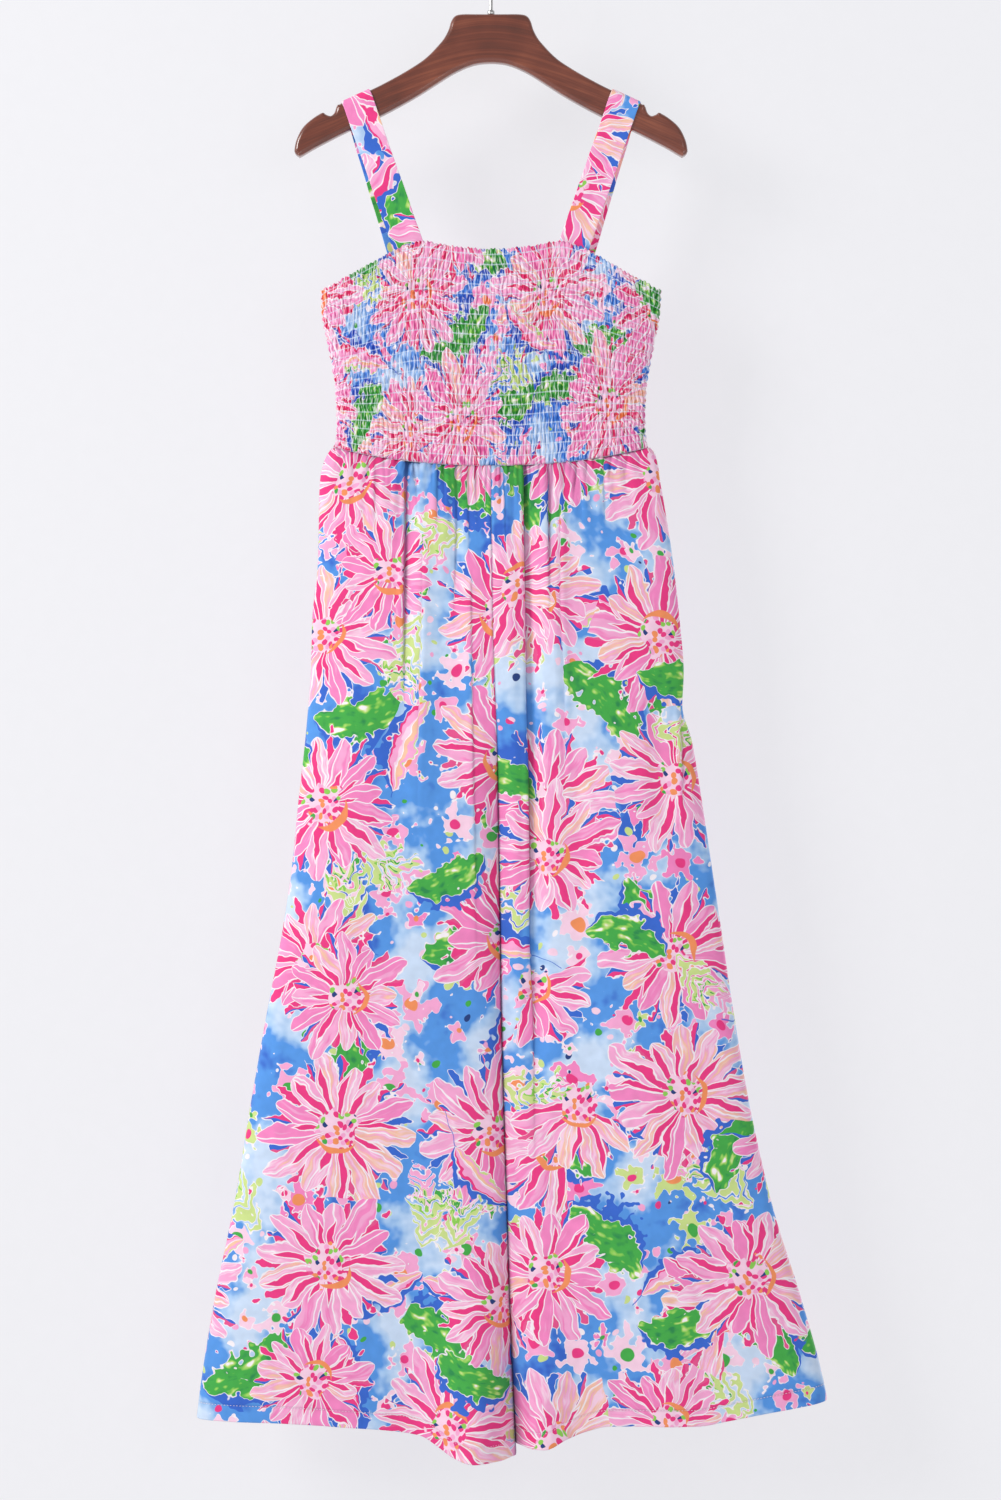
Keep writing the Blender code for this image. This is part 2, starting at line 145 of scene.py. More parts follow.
def sub(a, b):
    return calc("SUBTRACT", a, b)


def mul(a, b):
    return calc("MULTIPLY", a, b)


def mulAdd(a, b, c):
    return calc("MULTIPLY_ADD", a, b, c)


def less(a, b):
    return calc("LESS_THAN", a, b)


def absolute(a):
    return calc("ABSOLUTE", a)


def threeOf(vector):
    return put("SeparateXYZ", vector).node.outputs


def noise(place, scale, detail, roughness=0.5, dimensions="2D", out=0, **more):
    named = {"Scale": scale, "Detail": detail, "Roughness": roughness, **more}
    return put("TexNoise", place, named=named, noise_dimensions=dimensions, out=out)


def cells(place, scale, spread):
    # a scattered lattice of cells, each with its own place and colour
    return put("TexVoronoi", place, named={"Scale": scale, "Randomness": spread}, voronoi_dimensions="2D",
               feature="F1").node.outputs


def step(value, low, high):
    # 0 below low, 1 above high, smooth between
    return put("MapRange", value, low, high, 0.0, 1.0, interpolation_type="SMOOTHSTEP")


def ramp(value, stops, interpolation="LINEAR"):
    # each stop is a place and a paint's name or a hex colour
    node = put("ValToRGB", value).node
    node.color_ramp.interpolation = interpolation
    for k, (place, colour) in enumerate(stops):
        spot = node.color_ramp.elements[k] if k < 2 else node.color_ramp.elements.new(place)
        spot.position = place
        spot.color = linear(paint.get(colour, colour))
    return node.outputs[0]


outline = 0.9  # width of the unpainted line round each motif

paint = {
    "white": "FBF3F7",
    "palePink": "FCD4E8",
    "pink": "FAABD5",
    "midPink": "F88AC4",
    "hotPink": "EF3D86",
    "rose": "E8568F",
    "peach": "F9C6A4",
    "orange": "F7955F",
    "blue": "589AE7",
    "deepBlue": "3A6BD0",
    "paleBlue": "A9CDF4",
    "mist": "CFE2F9",
    "navy": "27417F",
    "green": "46AE4B",
    "darkGreen": "2E9050",
    "leafLight": "8FD257",
    "lime": "CFE38F",
    "threadPale": "DCE9F7",
}


def cellSpot(cloth, sizes):
    # the nearest point of a scattered lattice: offset from it in cells, distance and three random numbers
    scale, seed = 1 / sizes["cell"], sizes["seed"]
    spot = put("VectorMath", cloth, (scale, scale, 0.0), (seed * 3.37, seed * 5.71, 0.0),
               operation="MULTIPLY_ADD")
    found = cells(spot, 1.0, sizes["spread"])
    offset = put("VectorMath", spot, found["Position"], operation="SUBTRACT")
    return offset, found["Distance"], put("SeparateColor", found["Color"]).node.outputs


def over(under, mask, top):
    return put("MixRGB", mask, under, linear(paint[top]) if isinstance(top, str) else top)


def darkened(under, mask, code):
    return put("MixRGB", mask, under, linear(code), blend_type="MULTIPLY")


def flowerLayer(under, cloth, wander, sizes):
    # open flowers: long petals with unpainted edges, broad strokes along them and a dabbed eye. Three random
    # numbers belong to each flower (c1 to c3) and three to each of its petals (q1 to q3)
    offset, distance, (c1, c2, c3) = cellSpot(cloth, sizes)
    unit = calc("DIVIDE", sizes["cell"] / sizes["radius"], mulAdd(c3, 0.22, 0.89))
    x, y, _ = threeOf(offset)
    far = mul(distance, unit)
    petals = sizes["petals"]
    sway = sub(wander, 0.5)
    turn = mulAdd(calc("ARCTAN2", y, x), petals / (2 * math.pi), mul(c1, 9.0))
    turn = mulAdd(sway, 0.10, turn)
    petal = calc("FLOOR", turn)
    lean = sub(sub(turn, petal), 0.5)
    # the petal count closes on itself where the angle jumps
    petal = calc("FLOORED_MODULO", petal, float(petals))
    # some are half open, with a fan of petals only
    fan = sub(mulAdd(less(c2, sizes["fans"]), 4.6 - petals, petals - 0.1), petal)
    which = mulAdd(c2, 97.0, petal)
    chance = put("TexWhiteNoise", named={"W": which}, noise_dimensions="1D", out=1)
    q1, q2, q3 = put("SeparateColor", chance).node.outputs
    reach = calc("DIVIDE", far, mulAdd(q1, 0.34, 0.70))
    half = mul(far, math.pi / petals)
    side = mul(mul(lean, 2.0), half)
    lateral = absolute(side)
    shape = sub(reach, calc("POWER", reach, 4.0))
    shape = calc("POWER", calc("MAXIMUM", shape, 0.0), 0.5)
    wide = mul(shape, mulAdd(sway, 1.2 / petals, 2.75 / petals))
    wide = sub(wide, 0.02)
    toNext = sub(half, lateral)
    edge = calc("MINIMUM", sub(wide, lateral), mul(toNext, 1.6))
    edge = calc("MINIMUM", edge, fan)
    # strokes behind the petals fill part of each gap
    gap = mulAdd(sway, 0.8, mulAdd(far, -1.1, 0.98))
    edge2 = sub(mul(calc("MAXIMUM", gap, -0.10), 0.24), toNext)
    edge2 = calc("MINIMUM", edge2, fan)
    # brush streaks run out along each petal
    strokes = put("CombineXYZ", mul(side, 22.0), mul(far, 2.4), which)
    streak = noise(strokes, 1.0, 1.0, 0.6, "3D")
    warm = mulAdd(q2, 0.5, mul(streak, 0.6))
    body = ramp(warm, (
        (0.24, "midPink"), (0.40, "midPink"), (0.48, "pink"), (0.58, "pink"),
        (0.64, "palePink"), (0.70, "pink"), (0.78, "peach"), (0.86, "palePink")))
    deep = mulAdd(far, -1.5, 0.72)
    body = over(body, mul(deep, sizes["deep"]), "rose")
    # a thin unpainted stroke and a broad hot pink one along most petals
    pale = absolute(mulAdd(sub(q3, 0.5), wide, side))
    body = over(body, step(pale, 0.011, 0.004), "white")
    line = mul(sub(0.5, q2), 1.5)
    line = absolute(mulAdd(line, wide, side))
    taper = mul(sub(mulAdd(q3, 0.5, 0.5), reach), 0.22)
    stroke = sub(calc("MINIMUM", taper, mulAdd(sway, 0.04, 0.042)), line)
    body = over(body, step(stroke, -0.010, -0.003), "white")
    body = over(body, step(stroke, 0.002, 0.010), "hotPink")
    behind = ramp(q1, ((0.0, "hotPink"), (0.40, "deepBlue"), (0.72, "rose")), "CONSTANT")
    rim = outline / sizes["radius"]
    result = over(under, step(edge2, -0.006, 0.0), "white")
    result = over(result, step(edge2, 0.004, 0.011), behind)
    result = over(result, step(edge, -0.007, 0.0), "white")
    result = over(result, step(edge, 0.5 * rim, 0.5 * rim + 0.007), body)
    # the eye: a patch of small dabs, part of it ringed with orange
    dab = cells(offset, sizes["cell"] / 5.6, 1.0)
    dabs = ramp(put("SeparateColor", dab["Color"]), (
        (0.0, "hotPink"), (0.26, "palePink"), (0.38, "orange"), (0.50, "leafLight"),
        (0.58, "pink"), (0.70, "rose"), (0.80, "green"), (0.85, "hotPink"),
        (0.95, "navy")), "CONSTANT")
    dabs = over(dabs, step(dab["Distance"], 0.42, 0.50), "palePink")
    eye = sub(mulAdd(sway, 0.25, sizes["eye"]), far)
    result = over(result, step(eye, 0.0, 0.014), dabs)
    arc = absolute(sub(far, sizes["eye"] + 0.03))
    part = calc("SINE", mul(turn, 2 * math.pi / petals))
    arc = mulAdd(part, 0.075, sub(-0.035, arc))
    result = over(result, step(arc, 0.0, 0.010), "orange")
    if sizes["share"] >= 1.0:
        return result
    return over(under, less(c1, sizes["share"]), result)


def leafLayer(under, cloth, wander, sizes):
    # brushed green leaves among striped fronds, each with its own turn
    offset, distance, (c1, c2, c3) = cellSpot(cloth, sizes)
    spot = put("VectorRotate", offset, named={"Angle": mul(c1, 2 * math.pi)}, rotation_type="Z_AXIS")
    spot = put("VectorMath", spot, named={"Scale": sizes["cell"] / sizes["length"]}, operation="SCALE")
    x, y, _ = threeOf(spot)
    t2 = mul(mul(x, x), 4.0)
    y = add(mulAdd(t2, -0.10, y), 0.05)
    slim = calc("POWER", calc("MAXIMUM", sub(1.0, t2), 0.0), 0.6)
    half = mulAdd(slim, mulAdd(wander, 0.30, 0.06), -0.02)
    bud = less(absolute(sub(c2, sizes["fronds"] + 0.5 * sizes["buds"])), 0.5 * sizes["buds"])
    half = mul(half, mulAdd(bud, -0.42, 1.0))
    out = absolute(y)
    edge = sub(half, out)
    # fronds are made of slanted dabs, leaves streaked along
    frond = less(c2, sizes["fronds"])
    slant = mulAdd(out, -9.0, mulAdd(x, 8.5, mul(wander, 1.6)))
    dab = absolute(sub(calc("FRACT", slant), 0.5))
    dab = mul(sub(0.34, dab), 0.11)
    edge = calc("MINIMUM", edge, sub(add(dab, 1.0), frond))
    strokes = put("CombineXYZ", mul(x, 5.0), mul(y, 16.0), c3)
    streak = noise(strokes, 1.0, 1.0, 0.6, "3D")
    body = ramp(mulAdd(wander, 0.4, mul(streak, 0.6)), (
        (0.34, "darkGreen"), (0.44, "green"), (0.55, "green"), (0.60, "leafLight"),
        (0.65, "lime"), (0.68, "white")))
    pod = mulAdd(streak, 0.35, mulAdd(calc("DIVIDE", y, half), 0.42, 0.32))
    buds = ramp(pod, (
        (0.0, "deepBlue"), (0.10, "hotPink"), (0.24, "pink"), (0.46, "palePink"),
        (0.52, "white"), (0.56, "peach"), (0.70, "pink"), (0.84, "lime")), "CONSTANT")
    body = over(body, bud, buds)
    dabs = ramp(mulAdd(slant, 0.22, mul(streak, 1.1)), (
        (0.0, "lime"), (0.46, "leafLight"), (0.56, "palePink"), (0.66, "green"),
        (0.74, "lime"), (0.92, "pink")), "CONSTANT")
    body = over(body, frond, dabs)
    shade = sub(mulAdd(y, -0.35, edge), mul(frond, 0.2))
    result = over(under, step(shade, -0.020, -0.012), "deepBlue")
    result = over(result, step(edge, -0.009, -0.002), "white")
    result = over(result, step(edge, 0.001, 0.009), body)
    return over(under, less(c3, sizes["share"]), result)


def blossomLayer(under, cloth, wander, sizes):
    # small five-petalled blossoms, one to a cell
    offset, distance, (c1, c2, c3) = cellSpot(cloth, sizes)
    x, y, _ = threeOf(offset)
    angle = mulAdd(calc("ARCTAN2", y, x), 5.0, mul(c2, 20.0))
    lobes = mulAdd(calc("COSINE", angle), 0.16, 0.80)
    size = mul(mulAdd(c3, 0.5, 0.60), sizes["radius"] / sizes["cell"])
    size = mul(size, less(c1, sizes["share"]))
    reach = mul(mul(lobes, size), mulAdd(wander, 2.6, -0.3))
    edge = sub(reach, distance)
    soft = 0.4 / sizes["cell"]
    body = ramp(c2, (
        (0.0, "pink"), (0.30, "palePink"), (0.52, "midPink"), (0.66, "pink"),
        (0.84, "lime"), (0.93, "palePink")), "CONSTANT")
    result = over(under, step(edge, 0.0, 2 * soft), "white")
    result = over(result, step(edge, 3 * soft, 5 * soft), body)
    eye = sub(mul(size, 0.30), distance)
    eyeColour = ramp(c3, ((0.0, "hotPink"), (0.55, "green"), (0.8, "orange")), "CONSTANT")
    return over(result, step(eye, 0.0, 2 * soft), eyeColour)


# cell is the lattice's step, radius and length a motif's size, in mm; share is how many cells hold one
flowersUnder = {"cell": 158.0, "radius": 78.0, "petals": 13, "seed": 1.0, "spread": 0.45, "share": 1.0,
                "eye": 0.23, "deep": 0.45, "fans": 0.28}
flowersOver = {"cell": 205.0, "radius": 72.0, "petals": 12, "seed": 2.0, "spread": 0.6, "share": 0.70,
               "eye": 0.25, "deep": 0.38, "fans": 0.35}
leavesUnder = {"cell": 105.0, "length": 108.0, "seed": 3.0, "spread": 0.9, "share": 0.85, "fronds": 0.40,
               "buds": 0.25}
leavesOver = {"cell": 128.0, "length": 84.0, "seed": 4.0, "spread": 0.9, "share": 0.62, "fronds": 0.16,
              "buds": 0.30}
blossomsBig = {"cell": 52.0, "radius": 22.0, "seed": 5.0, "spread": 0.7, "share": 0.80}
blossomsSmall = {"cell": 33.0, "radius": 10.0, "seed": 6.0, "spread": 0.8, "share": 0.45}
brushDabs = {"cell": 14.0, "seed": 7.0, "spread": 1.0, "share": 0.32}


def paintedCloth(cloth):
    # the whole print, from the wash up, by position on the flat cloth in millimetres
    drift = noise(cloth, 1 / 26.0, 1.0, out=1)
    driftX, driftY, _ = put("SeparateColor", drift).node.outputs
    drift = put("CombineXYZ", driftX, driftY, 0.0)
    moved = put("VectorMath", drift, (10.0, 10.0, 0.0), cloth, operation="MULTIPLY_ADD")
    wander = noise(cloth, 1 / 11.0, 1.0)
    # wet blue wash with paler pools
    pools = noise(moved, 1 / 74.0, 1.2, 0.45)
    colour = ramp(mulAdd(wander, 0.16, pools), (
        (0.34, "deepBlue"), (0.43, "blue"), (0.56, "blue"), (0.63, "paleBlue"),
        (0.74, "mist")))
    # loose brush dabs on the wash
    offset, distance, (d1, d2, d3) = cellSpot(moved, brushDabs)
    size = mul(less(d1, brushDabs["share"]), mulAdd(d3, 0.22, 0.10))
    dabs = ramp(d2, (
        (0.0, "palePink"), (0.22, "white"), (0.38, "lime"), (0.54, "pink"),
        (0.70, "green"), (0.84, "hotPink"), (0.96, "navy")), "CONSTANT")
    colour = over(colour, step(sub(size, distance), 0.0, 0.05), dabs)
    colour = blossomLayer(colour, moved, wander, blossomsBig)
    colour = blossomLayer(colour, moved, wander, blossomsSmall)
    colour = leafLayer(colour, moved, wander, leavesUnder)
    colour = flowerLayer(colour, moved, wander, flowersUnder)
    colour = leafLayer(colour, moved, wander, leavesOver)
    colour = flowerLayer(colour, moved, wander, flowersOver)
    # the brush leaves each colour a little lighter and darker
    shade = put("MapRange", wander, 0.25, 0.75, 0.95, 1.05)
    return put("HueSaturation", 0.5, 1.0, shade, 1.0, colour)


def newMaterial(name):
    made = bpy.data.materials.new(name)
    made.use_nodes = True
    return made, made.node_tree, made.node_tree.nodes["Principled BSDF"]


def printGroup():
    tree = bpy.data.node_groups.new("paintedPrint", "ShaderNodeTree")
    tree.interface.new_socket("Cloth", in_out="INPUT", socket_type="NodeSocketVector")
    tree.interface.new_socket("Painted", in_out="OUTPUT", socket_type="NodeSocketColor")
    source = tree.nodes.new("NodeGroupInput")
    painted = paintedCloth(source.outputs[0])
    feed(tree.nodes.new("NodeGroupOutput"), {0: painted})
    return tree


# threadPitch and slub are the weave's pitch in mm and how high its threads stand
wovenRayon = {"roughness": 0.78, "specular": 0.28, "sheen": 0.06, "sheenRoughness": 0.45, "bump": 0.35,
              "threadPitch": 0.9, "slub": 0.12}


def wovenHeight(cloth):
    # plain weave, drawn about three times coarser than the real threads so that it shows close up
    grid = put("VectorMath", cloth, named={"Scale": math.pi / wovenRayon["threadPitch"]}, operation="SCALE")
    warp, weft, _ = threeOf(grid)
    return mul(calc("SINE", warp), calc("SINE", weft))


def clothShader(shader, colour, height, depth):
    bump = put("Bump", named={"Strength": wovenRayon["bump"], "Distance": depth * mm, "Height": height})
    feed(shader, {
        "Base Color": colour, "Roughness": wovenRayon["roughness"],
        "Specular IOR Level": wovenRayon["specular"], "Sheen Weight": wovenRayon["sheen"],
        "Sheen Roughness": wovenRayon["sheenRoughness"], "Normal": bump})


def printedCloth(printTree):
    # plain-woven rayon with a screen-painted print: a soft matt face with a faint thread grain
    made, tree, shader = newMaterial("wovenRayonPrinted")
    cloth = put("UVMap", tree=tree, uv_map="cloth")
    painted = put("Group", cloth, node_tree=printTree)
    # painted shade: light is lost between the two sides of a tight fold, in the seams and between the legs,
    # so the print is darkened there
    paintedShade = threeOf(put("UVMap", tree=tree, uv_map="paintedShade"))[0]
    painted = darkened(painted, mul(paintedShade, 0.80), "7F7390")
    weave = wovenHeight(cloth)
    crumple = noise(cloth, 1 / 16.0, 2.0)
    clothShader(shader, painted, mulAdd(crumple, 7.0, mul(weave, wovenRayon["slub"])), 0.22)
    return made


def shirredCloth(printTree):
    # the same cloth drawn up on elastic thread: pale lines of thread and a comb of fine upright puckers
    made, tree, shader = newMaterial("wovenRayonShirred")
    cloth = put("UVMap", tree=tree, uv_map="cloth")
    painted = put("Group", cloth, node_tree=printTree)
    shirr = put("UVMap", tree=tree, uv_map="shirr")
    pucker, row, _ = threeOf(shirr)
    fine = noise(put("VectorMath", shirr, (3.1, 1.05, 0.0), operation="MULTIPLY"), 1.0, 1.0)
    valley = absolute(sub(calc("FRACT", pucker), 0.5))
    # painted shade makes the colour deeper and darker between puckers, and a painted highlight whitens their
    # crests in streaks
    valleyShade = step(mulAdd(valley, 0.42, mul(fine, -1.0)), -0.42, -0.22)
    painted = put("MixRGB", mul(add(valleyShade, 0.35), 0.60), painted, painted, blend_type="MULTIPLY")
    painted = darkened(painted, mul(valleyShade, 0.34), "8C7FA0")
    # painted highlight: white streaks along the pucker crests
    pale = step(mulAdd(valley, -0.16, fine), 0.50, 0.60)
    painted = over(painted, mul(pale, 0.52), "white")
    # elastic thread sunk between the rows, showing in dashes
    level = sub(calc("FRACT", add(row, 0.5)), 0.5)
    level = mulAdd(sub(fine, 0.5), 0.10, level)
    thread = step(absolute(level), 0.085, 0.045)
    thread = mul(thread, mulAdd(step(fine, 0.44, 0.54), 0.40, 0.34))
    painted = over(painted, thread, "threadPale")
    weave = wovenHeight(cloth)
    clothShader(shader, painted, mulAdd(fine, 3.0, mul(weave, wovenRayon["slub"])), 0.30)
    return made


def clothReverse():
    # the unprinted side, where the dye shows through as a pale ghost
    made, tree, shader = newMaterial("wovenRayonReverse")
    cloth = put("UVMap", tree=tree, uv_map="cloth")
    ghost = noise(cloth, 1 / 48.0, 3.0, 0.6)
    colour = ramp(ghost, ((0.34, "B9CFEF"), (0.46, "DDE3F3"), (0.53, "F6E3EC"), (0.64, "F3C6DA")))
    clothShader(shader, colour, wovenHeight(cloth), 0.06)
    return made


# the grain's scale is in mm, and slope is how far each arm falls for its length
hangerFinish = {"grainWide": 1.6, "grainLong": 46.0, "slope": 0.46, "roughness": 0.32, "coat": 1.0,
                "coatRoughness": 0.08}


def varnishedWood():
    # stained beech under satin varnish: dark red-brown with fine streaks along the arms and soft highlights
    made, tree, shader = newMaterial("stainedBeechVarnished")
    where = put("TexCoord", tree=tree, out=3)
    # each arm's grain runs down its slope
    x, y, z = threeOf(where)
    out = calc("POWER", mulAdd(x, x, 0.003), 0.5)
    across = mulAdd(out, hangerFinish["slope"], z)
    alongArm = mulAdd(z, -hangerFinish["slope"], out)
    long, wide = 1000 / hangerFinish["grainLong"], 1000 / hangerFinish["grainWide"]
    grain = put("CombineXYZ", mul(alongArm, long), mul(across, wide), mul(y, wide))
    streaks = noise(grain, 0.55, 4.0, 0.65, "3D", Distortion=0.4)
    broad = noise(where, 26.0, 2.0, 0.5, "3D")
    tone = mulAdd(broad, 0.35, mul(streaks, 0.65))
    colour = ramp(tone, ((0.34, "5A2A1A"), (0.47, "703421"), (0.56, "7E3F2A"), (0.68, "935036")))
    rough = hangerFinish["roughness"]
    feed(shader, {
        "Base Color": colour, "Roughness": put("MapRange", streaks, 0.3, 0.7, rough + 0.06, rough - 0.05),
        "Coat Weight": hangerFinish["coat"], "Coat Roughness": hangerFinish["coatRoughness"],
        "Normal": put("Bump", named={"Strength": 0.25, "Distance": 0.05 * mm, "Height": streaks})})
    return made


def drawnSteel():
    # drawn and nickel-plated wire: bright, with faint lines along it
    made, tree, shader = newMaterial("nickelPlatedWire")
    mottle = noise(put("TexCoord", tree=tree, out=3), 900.0, 2.0, 0.5, "3D")
    feed(shader, {"Base Color": linear("C9C8C6"), "Metallic": 1.0,
                  "Roughness": put("MapRange", mottle, 0.3, 0.7, 0.20, 0.32)})
    return made


def sewingThread():
    # spun polyester thread, pale pink and slightly shiny
    made, tree, shader = newMaterial("spunPolyesterThread")
    twist = noise(put("TexCoord", tree=tree, out=3), 2500.0, 1.0, 0.5, "3D")
    feed(shader, {"Base Color": ramp(twist, ((0.35, "EBCFDD"), (0.65, "FFF4F8"))), "Roughness": 0.6,
                  "Sheen Weight": 0.1})
    return made


sharedPrint = printGroup()
clothFace = printedCloth(sharedPrint)
clothShirred = shirredCloth(sharedPrint)
clothBack = clothReverse()
woodFinish, steelFinish, threadFinish = varnishedWood(), drawnSteel(), sewingThread()
print("materials mixed")


# cloth shapes, in millimetres; left and right are as seen from the front
walls = {"leg": 1.5, "bodice": 1.2, "strap": 1.6, "shown": 0.9}

waist = {"centreZ": -502.6, "rise": 18.4, "power": 2.2, "half": 157.0}

legSections = table(
    ("z", "leftSide", "centre", "rightSide", "halfDepth"),
    (-1435, -286, 23.4, 329.5, 26),
    (-1392, -280.8, 21.3, 322.5, 26),
    (-1311, -267.7, 18, 300.7, 25.5),
    (-1217, -248.3, 15.2, 271.6, 25),
    (-1117, -231.8, 12.1, 249.3, 24.5),
    (-1020, -214.4, 9.7, 232.8, 24),
    (-942, -199.8, 8.7, 221.2, 23.5),
    (-884, -191.6, 7.8, 212.4, 23),
    (-826, -186, 6.8, 203.7, 22.5),
    (-768, -179.5, 5.8, 194, 22),
    (-734.5, -176.5, 4.6, 184.8, 21.5),
    (-703, -174, 3.4, 186.2, 21),
    (-651, -172.7, 1.6, 182.2, 20),
    (-593, -167, 1, 175.6, 18),
    (-535, -166, 0, 166.6, 15.5),
    (-515, -165, 0, 163, 14),
    (-500, -162, 0, 161, 12.6),
    (-490, -157.6, 0, 158.2, 11.8),
    (-484, -153.2, 0, 153.6, 11.2),
)
crotch = {"top": -735.0, "low": -850.0, "grooveAtHem": 0.45}

# hem height across each leg, from the side seam (0) to the inside leg (1)
leftHem = table(
    ("across", "z"),
    (0, -1422.8), (0.24, -1423.8), (0.51, -1428.5), (0.70, -1435.5), (0.76, -1445), (0.81, -1454),
    (0.87, -1458.5), (0.93, -1458), (1, -1459),
)
rightHem = table(
    ("across", "z"),
    (0, -1405.5), (0.11, -1410.5), (0.22, -1416), (0.33, -1422), (0.42, -1426), (0.70, -1426.5),
    (0.77, -1430.5), (0.84, -1437.5), (0.91, -1446.5), (1, -1447.5),
)

# gathers drawn up at the waist seam: place, depth and length of each groove
gatherRows = table(
    ("x", "depth", "length"),
    (-140, 1.1, 60), (-127, 1.5, 80), (-115.5, 1.7, 95), (-104, 1.3, 70), (-94, 1.3, 65),
    (-82.5, 2.8, 110), (-72, 1.6, 80), (-59.5, 1.6, 95), (-47.5, 1.8, 90), (-35, 2.3, 140),
    (-23.5, 1.5, 85), (-12, 1.4, 85), (9.5, 1.4, 85), (19.5, 1.6, 100), (31, 2.8, 110),
    (42, 1.4, 80), (53, 2.3, 160), (69.5, 1.7, 95), (80, 1.5, 85), (92, 1.8, 90),
    (103, 1.6, 80), (114.5, 1.5, 75), (126.5, 1.5, 70), (140, 1.2, 60),
)
gatherWidth = 4.0

# long soft folds: a line from top to low, out (+) or in (-), and its width
frontFolds = table(
    ("xTop", "zTop", "xLow", "zLow", "height", "width"),
    (-82.5, -500, -84, -800, -2.6, 9),
    (-65, -545, -71, -880, 3.4, 14),
    (-35, -500, -37, -660, -1.6, 8),
    (-19.5, -590, -14, -1030, 2.2, 12),
    (-120, -620, -150, -1120, 2, 30),
    (-60, -980, -85, -1440, -3, 32),
    (23, -540, 27, -1180, 2.2, 14),
    (33, -500, 46, -1210, -5.5, 10),
    (63, -530, 66, -760, 2.6, 11),
    (78, -740, 92, -1010, -1.8, 14),
    (160, -700, 168, -880, -3.4, 14),
    (120, -900, 175, -1420, 3, 34),
    (62, -1100, 72, -1300, -2.4, 16),
)
backFolds = table(
    ("xTop", "zTop", "xLow", "zLow", "height", "width"),
    (-118, -500, -126, -760, -2.4, 10),
    (-92, -560, -104, -930, 3, 16),
    (-40, -500, -46, -1060, -4.2, 11),
    (-130, -860, -178, -1420, 2.8, 34),
    (28, -520, 31, -820, 2.4, 12),
    (52, -500, 62, -1120, -4.6, 11),
    (96, -540, 104, -790, 2.4, 14),
    (112, -820, 150, -1420, -2.6, 32),
)

# crisp folds: cloth drops sharply on one side of the line, right for side +1, and climbs back over the width
frontCreases = table(
    ("xTop", "zTop", "xLow", "zLow", "depth", "width", "side"),
    (-82.8, -503, -84.8, -760, 3.4, 17.5, 1),
    (-65.5, -560, -71, -905, 1.3, 9, -1),
    (-34, -503, -35.5, -668, 1.7, 8, 1),
    (-23, -503, -21.5, -606, 1.2, 7, 1),
    (-19, -600, -14, -1060, 1, 10, 1),
    (30.5, -503, 43, -1235, 3.6, 17, 1),
    (54.5, -503, 56, -672, 2.2, 8, 1),
    (64.5, -520, 74.5, -900, 1.6, 8, -1),
    (-112, -500, -113, -572, 0.9, 7, 1),
    (-97, -500, -98, -560, 0.8, 6, -1),
    (-52, -500, -53, -575, 1, 6, 1),
    (12, -503, 13, -590, 1.1, 6, 1),
    (21.5, -503, 23, -600, 1.2, 6, -1),
    (86, -500, 88, -580, 0.9, 7, -1),
    (108, -500, 110, -566, 0.9, 7, 1),
    (183, -724, 184, -858, 1.6, 12, 1),
)
backCreases = table(
    ("xTop", "zTop", "xLow", "zLow", "depth", "width", "side"),
    (-96, -500, -101, -820, 2.6, 15, -1),
    (-44, -500, -52, -1120, 2.8, 16, 1),
    (-24, -500, -23, -640, 1.4, 8, -1),
    (-71, -500, -72, -610, 1.2, 8, 1),
    (20, -500, 22, -620, 1.3, 7, 1),
    (50, -500, 58, -1030, 3, 17, -1),
    (78, -500, 82, -700, 1.5, 9, 1),
    (104, -500, 112, -900, 1.6, 12, 1),
    (130, -500, 133, -585, 0.9, 7, -1),
)

# short narrow gathers drawn in by the seam: place, depth, length
frontTucks = table(
    ("x", "depth", "length"),
    (-146, 0.8, 22), (-134, 0.9, 30), (-127, 0.8, 18), (-119, 1.1, 34), (-104, 1, 40),
    (-91, 1, 26), (-75, 1.7, 64), (-69.5, 1, 24), (-58, 1.1, 34), (-46, 1.5, 52),
    (-40, 0.9, 24), (-28.5, 1.3, 48), (-14, 1.4, 56), (-9, 0.9, 28), (-4, 1.5, 66),
    (5, 1, 32), (9, 1.4, 60), (17, 1.1, 38), (26, 1.3, 62), (38.5, 1.1, 36),
    (47, 1.2, 44), (60, 1.5, 58), (71, 1, 44), (76.5, 0.9, 26), (82, 1.5, 62),
    (93, 1, 34), (99.5, 0.9, 22), (116, 1.1, 36), (123, 0.8, 20), (132, 1, 30),
    (144, 0.8, 20),
)
backTucks = table(
    ("x", "depth", "length"),
    (-147, 0.8, 20), (-136.5, 1, 32), (-124, 1.2, 46), (-116, 0.9, 24), (-108, 1, 30),
    (-88, 1.4, 58), (-80.5, 1, 26), (-63, 1.3, 50), (-57, 0.9, 22), (-50.5, 1.2, 40),
    (-35, 1.4, 60), (-29, 1, 28), (-15, 1.2, 44), (-6.5, 1.4, 64), (3, 1, 30),
    (11, 1.3, 52), (27, 1.1, 36), (34.5, 1.4, 60), (42, 0.9, 24), (61, 1.3, 48),
    (68, 1, 30), (88.5, 1.4, 56), (95, 1, 26), (110, 1.1, 36), (119, 1.2, 42),
    (126, 0.8, 20), (141, 1, 28),
)

# where the inside of each leg rolls forward at the hem
lobeRows = table(
    ("side", "across", "forward", "width", "start"),
    (-1, 0.88, 24, 0.10, 0.72),
    (1, 0.91, 17, 0.085, 0.76),
)

legFinish = {
    "seamDip": 0.8,  # how far the cloth dives into the waist seam
    "pucker": 0.95,  # small gathers just under the seam
    "puckerPitch": 5.1,
    "hemLine": 15.5,  # stitching above the hem's edge
    "fullness": 0.18,  # extra cloth gathered in at the waist
}


# a fold that starts above seamLevel runs out of the seam, and one that ends below hemLevel runs off the hem
seamLevel, hemLevel = -506.0, -1400.0


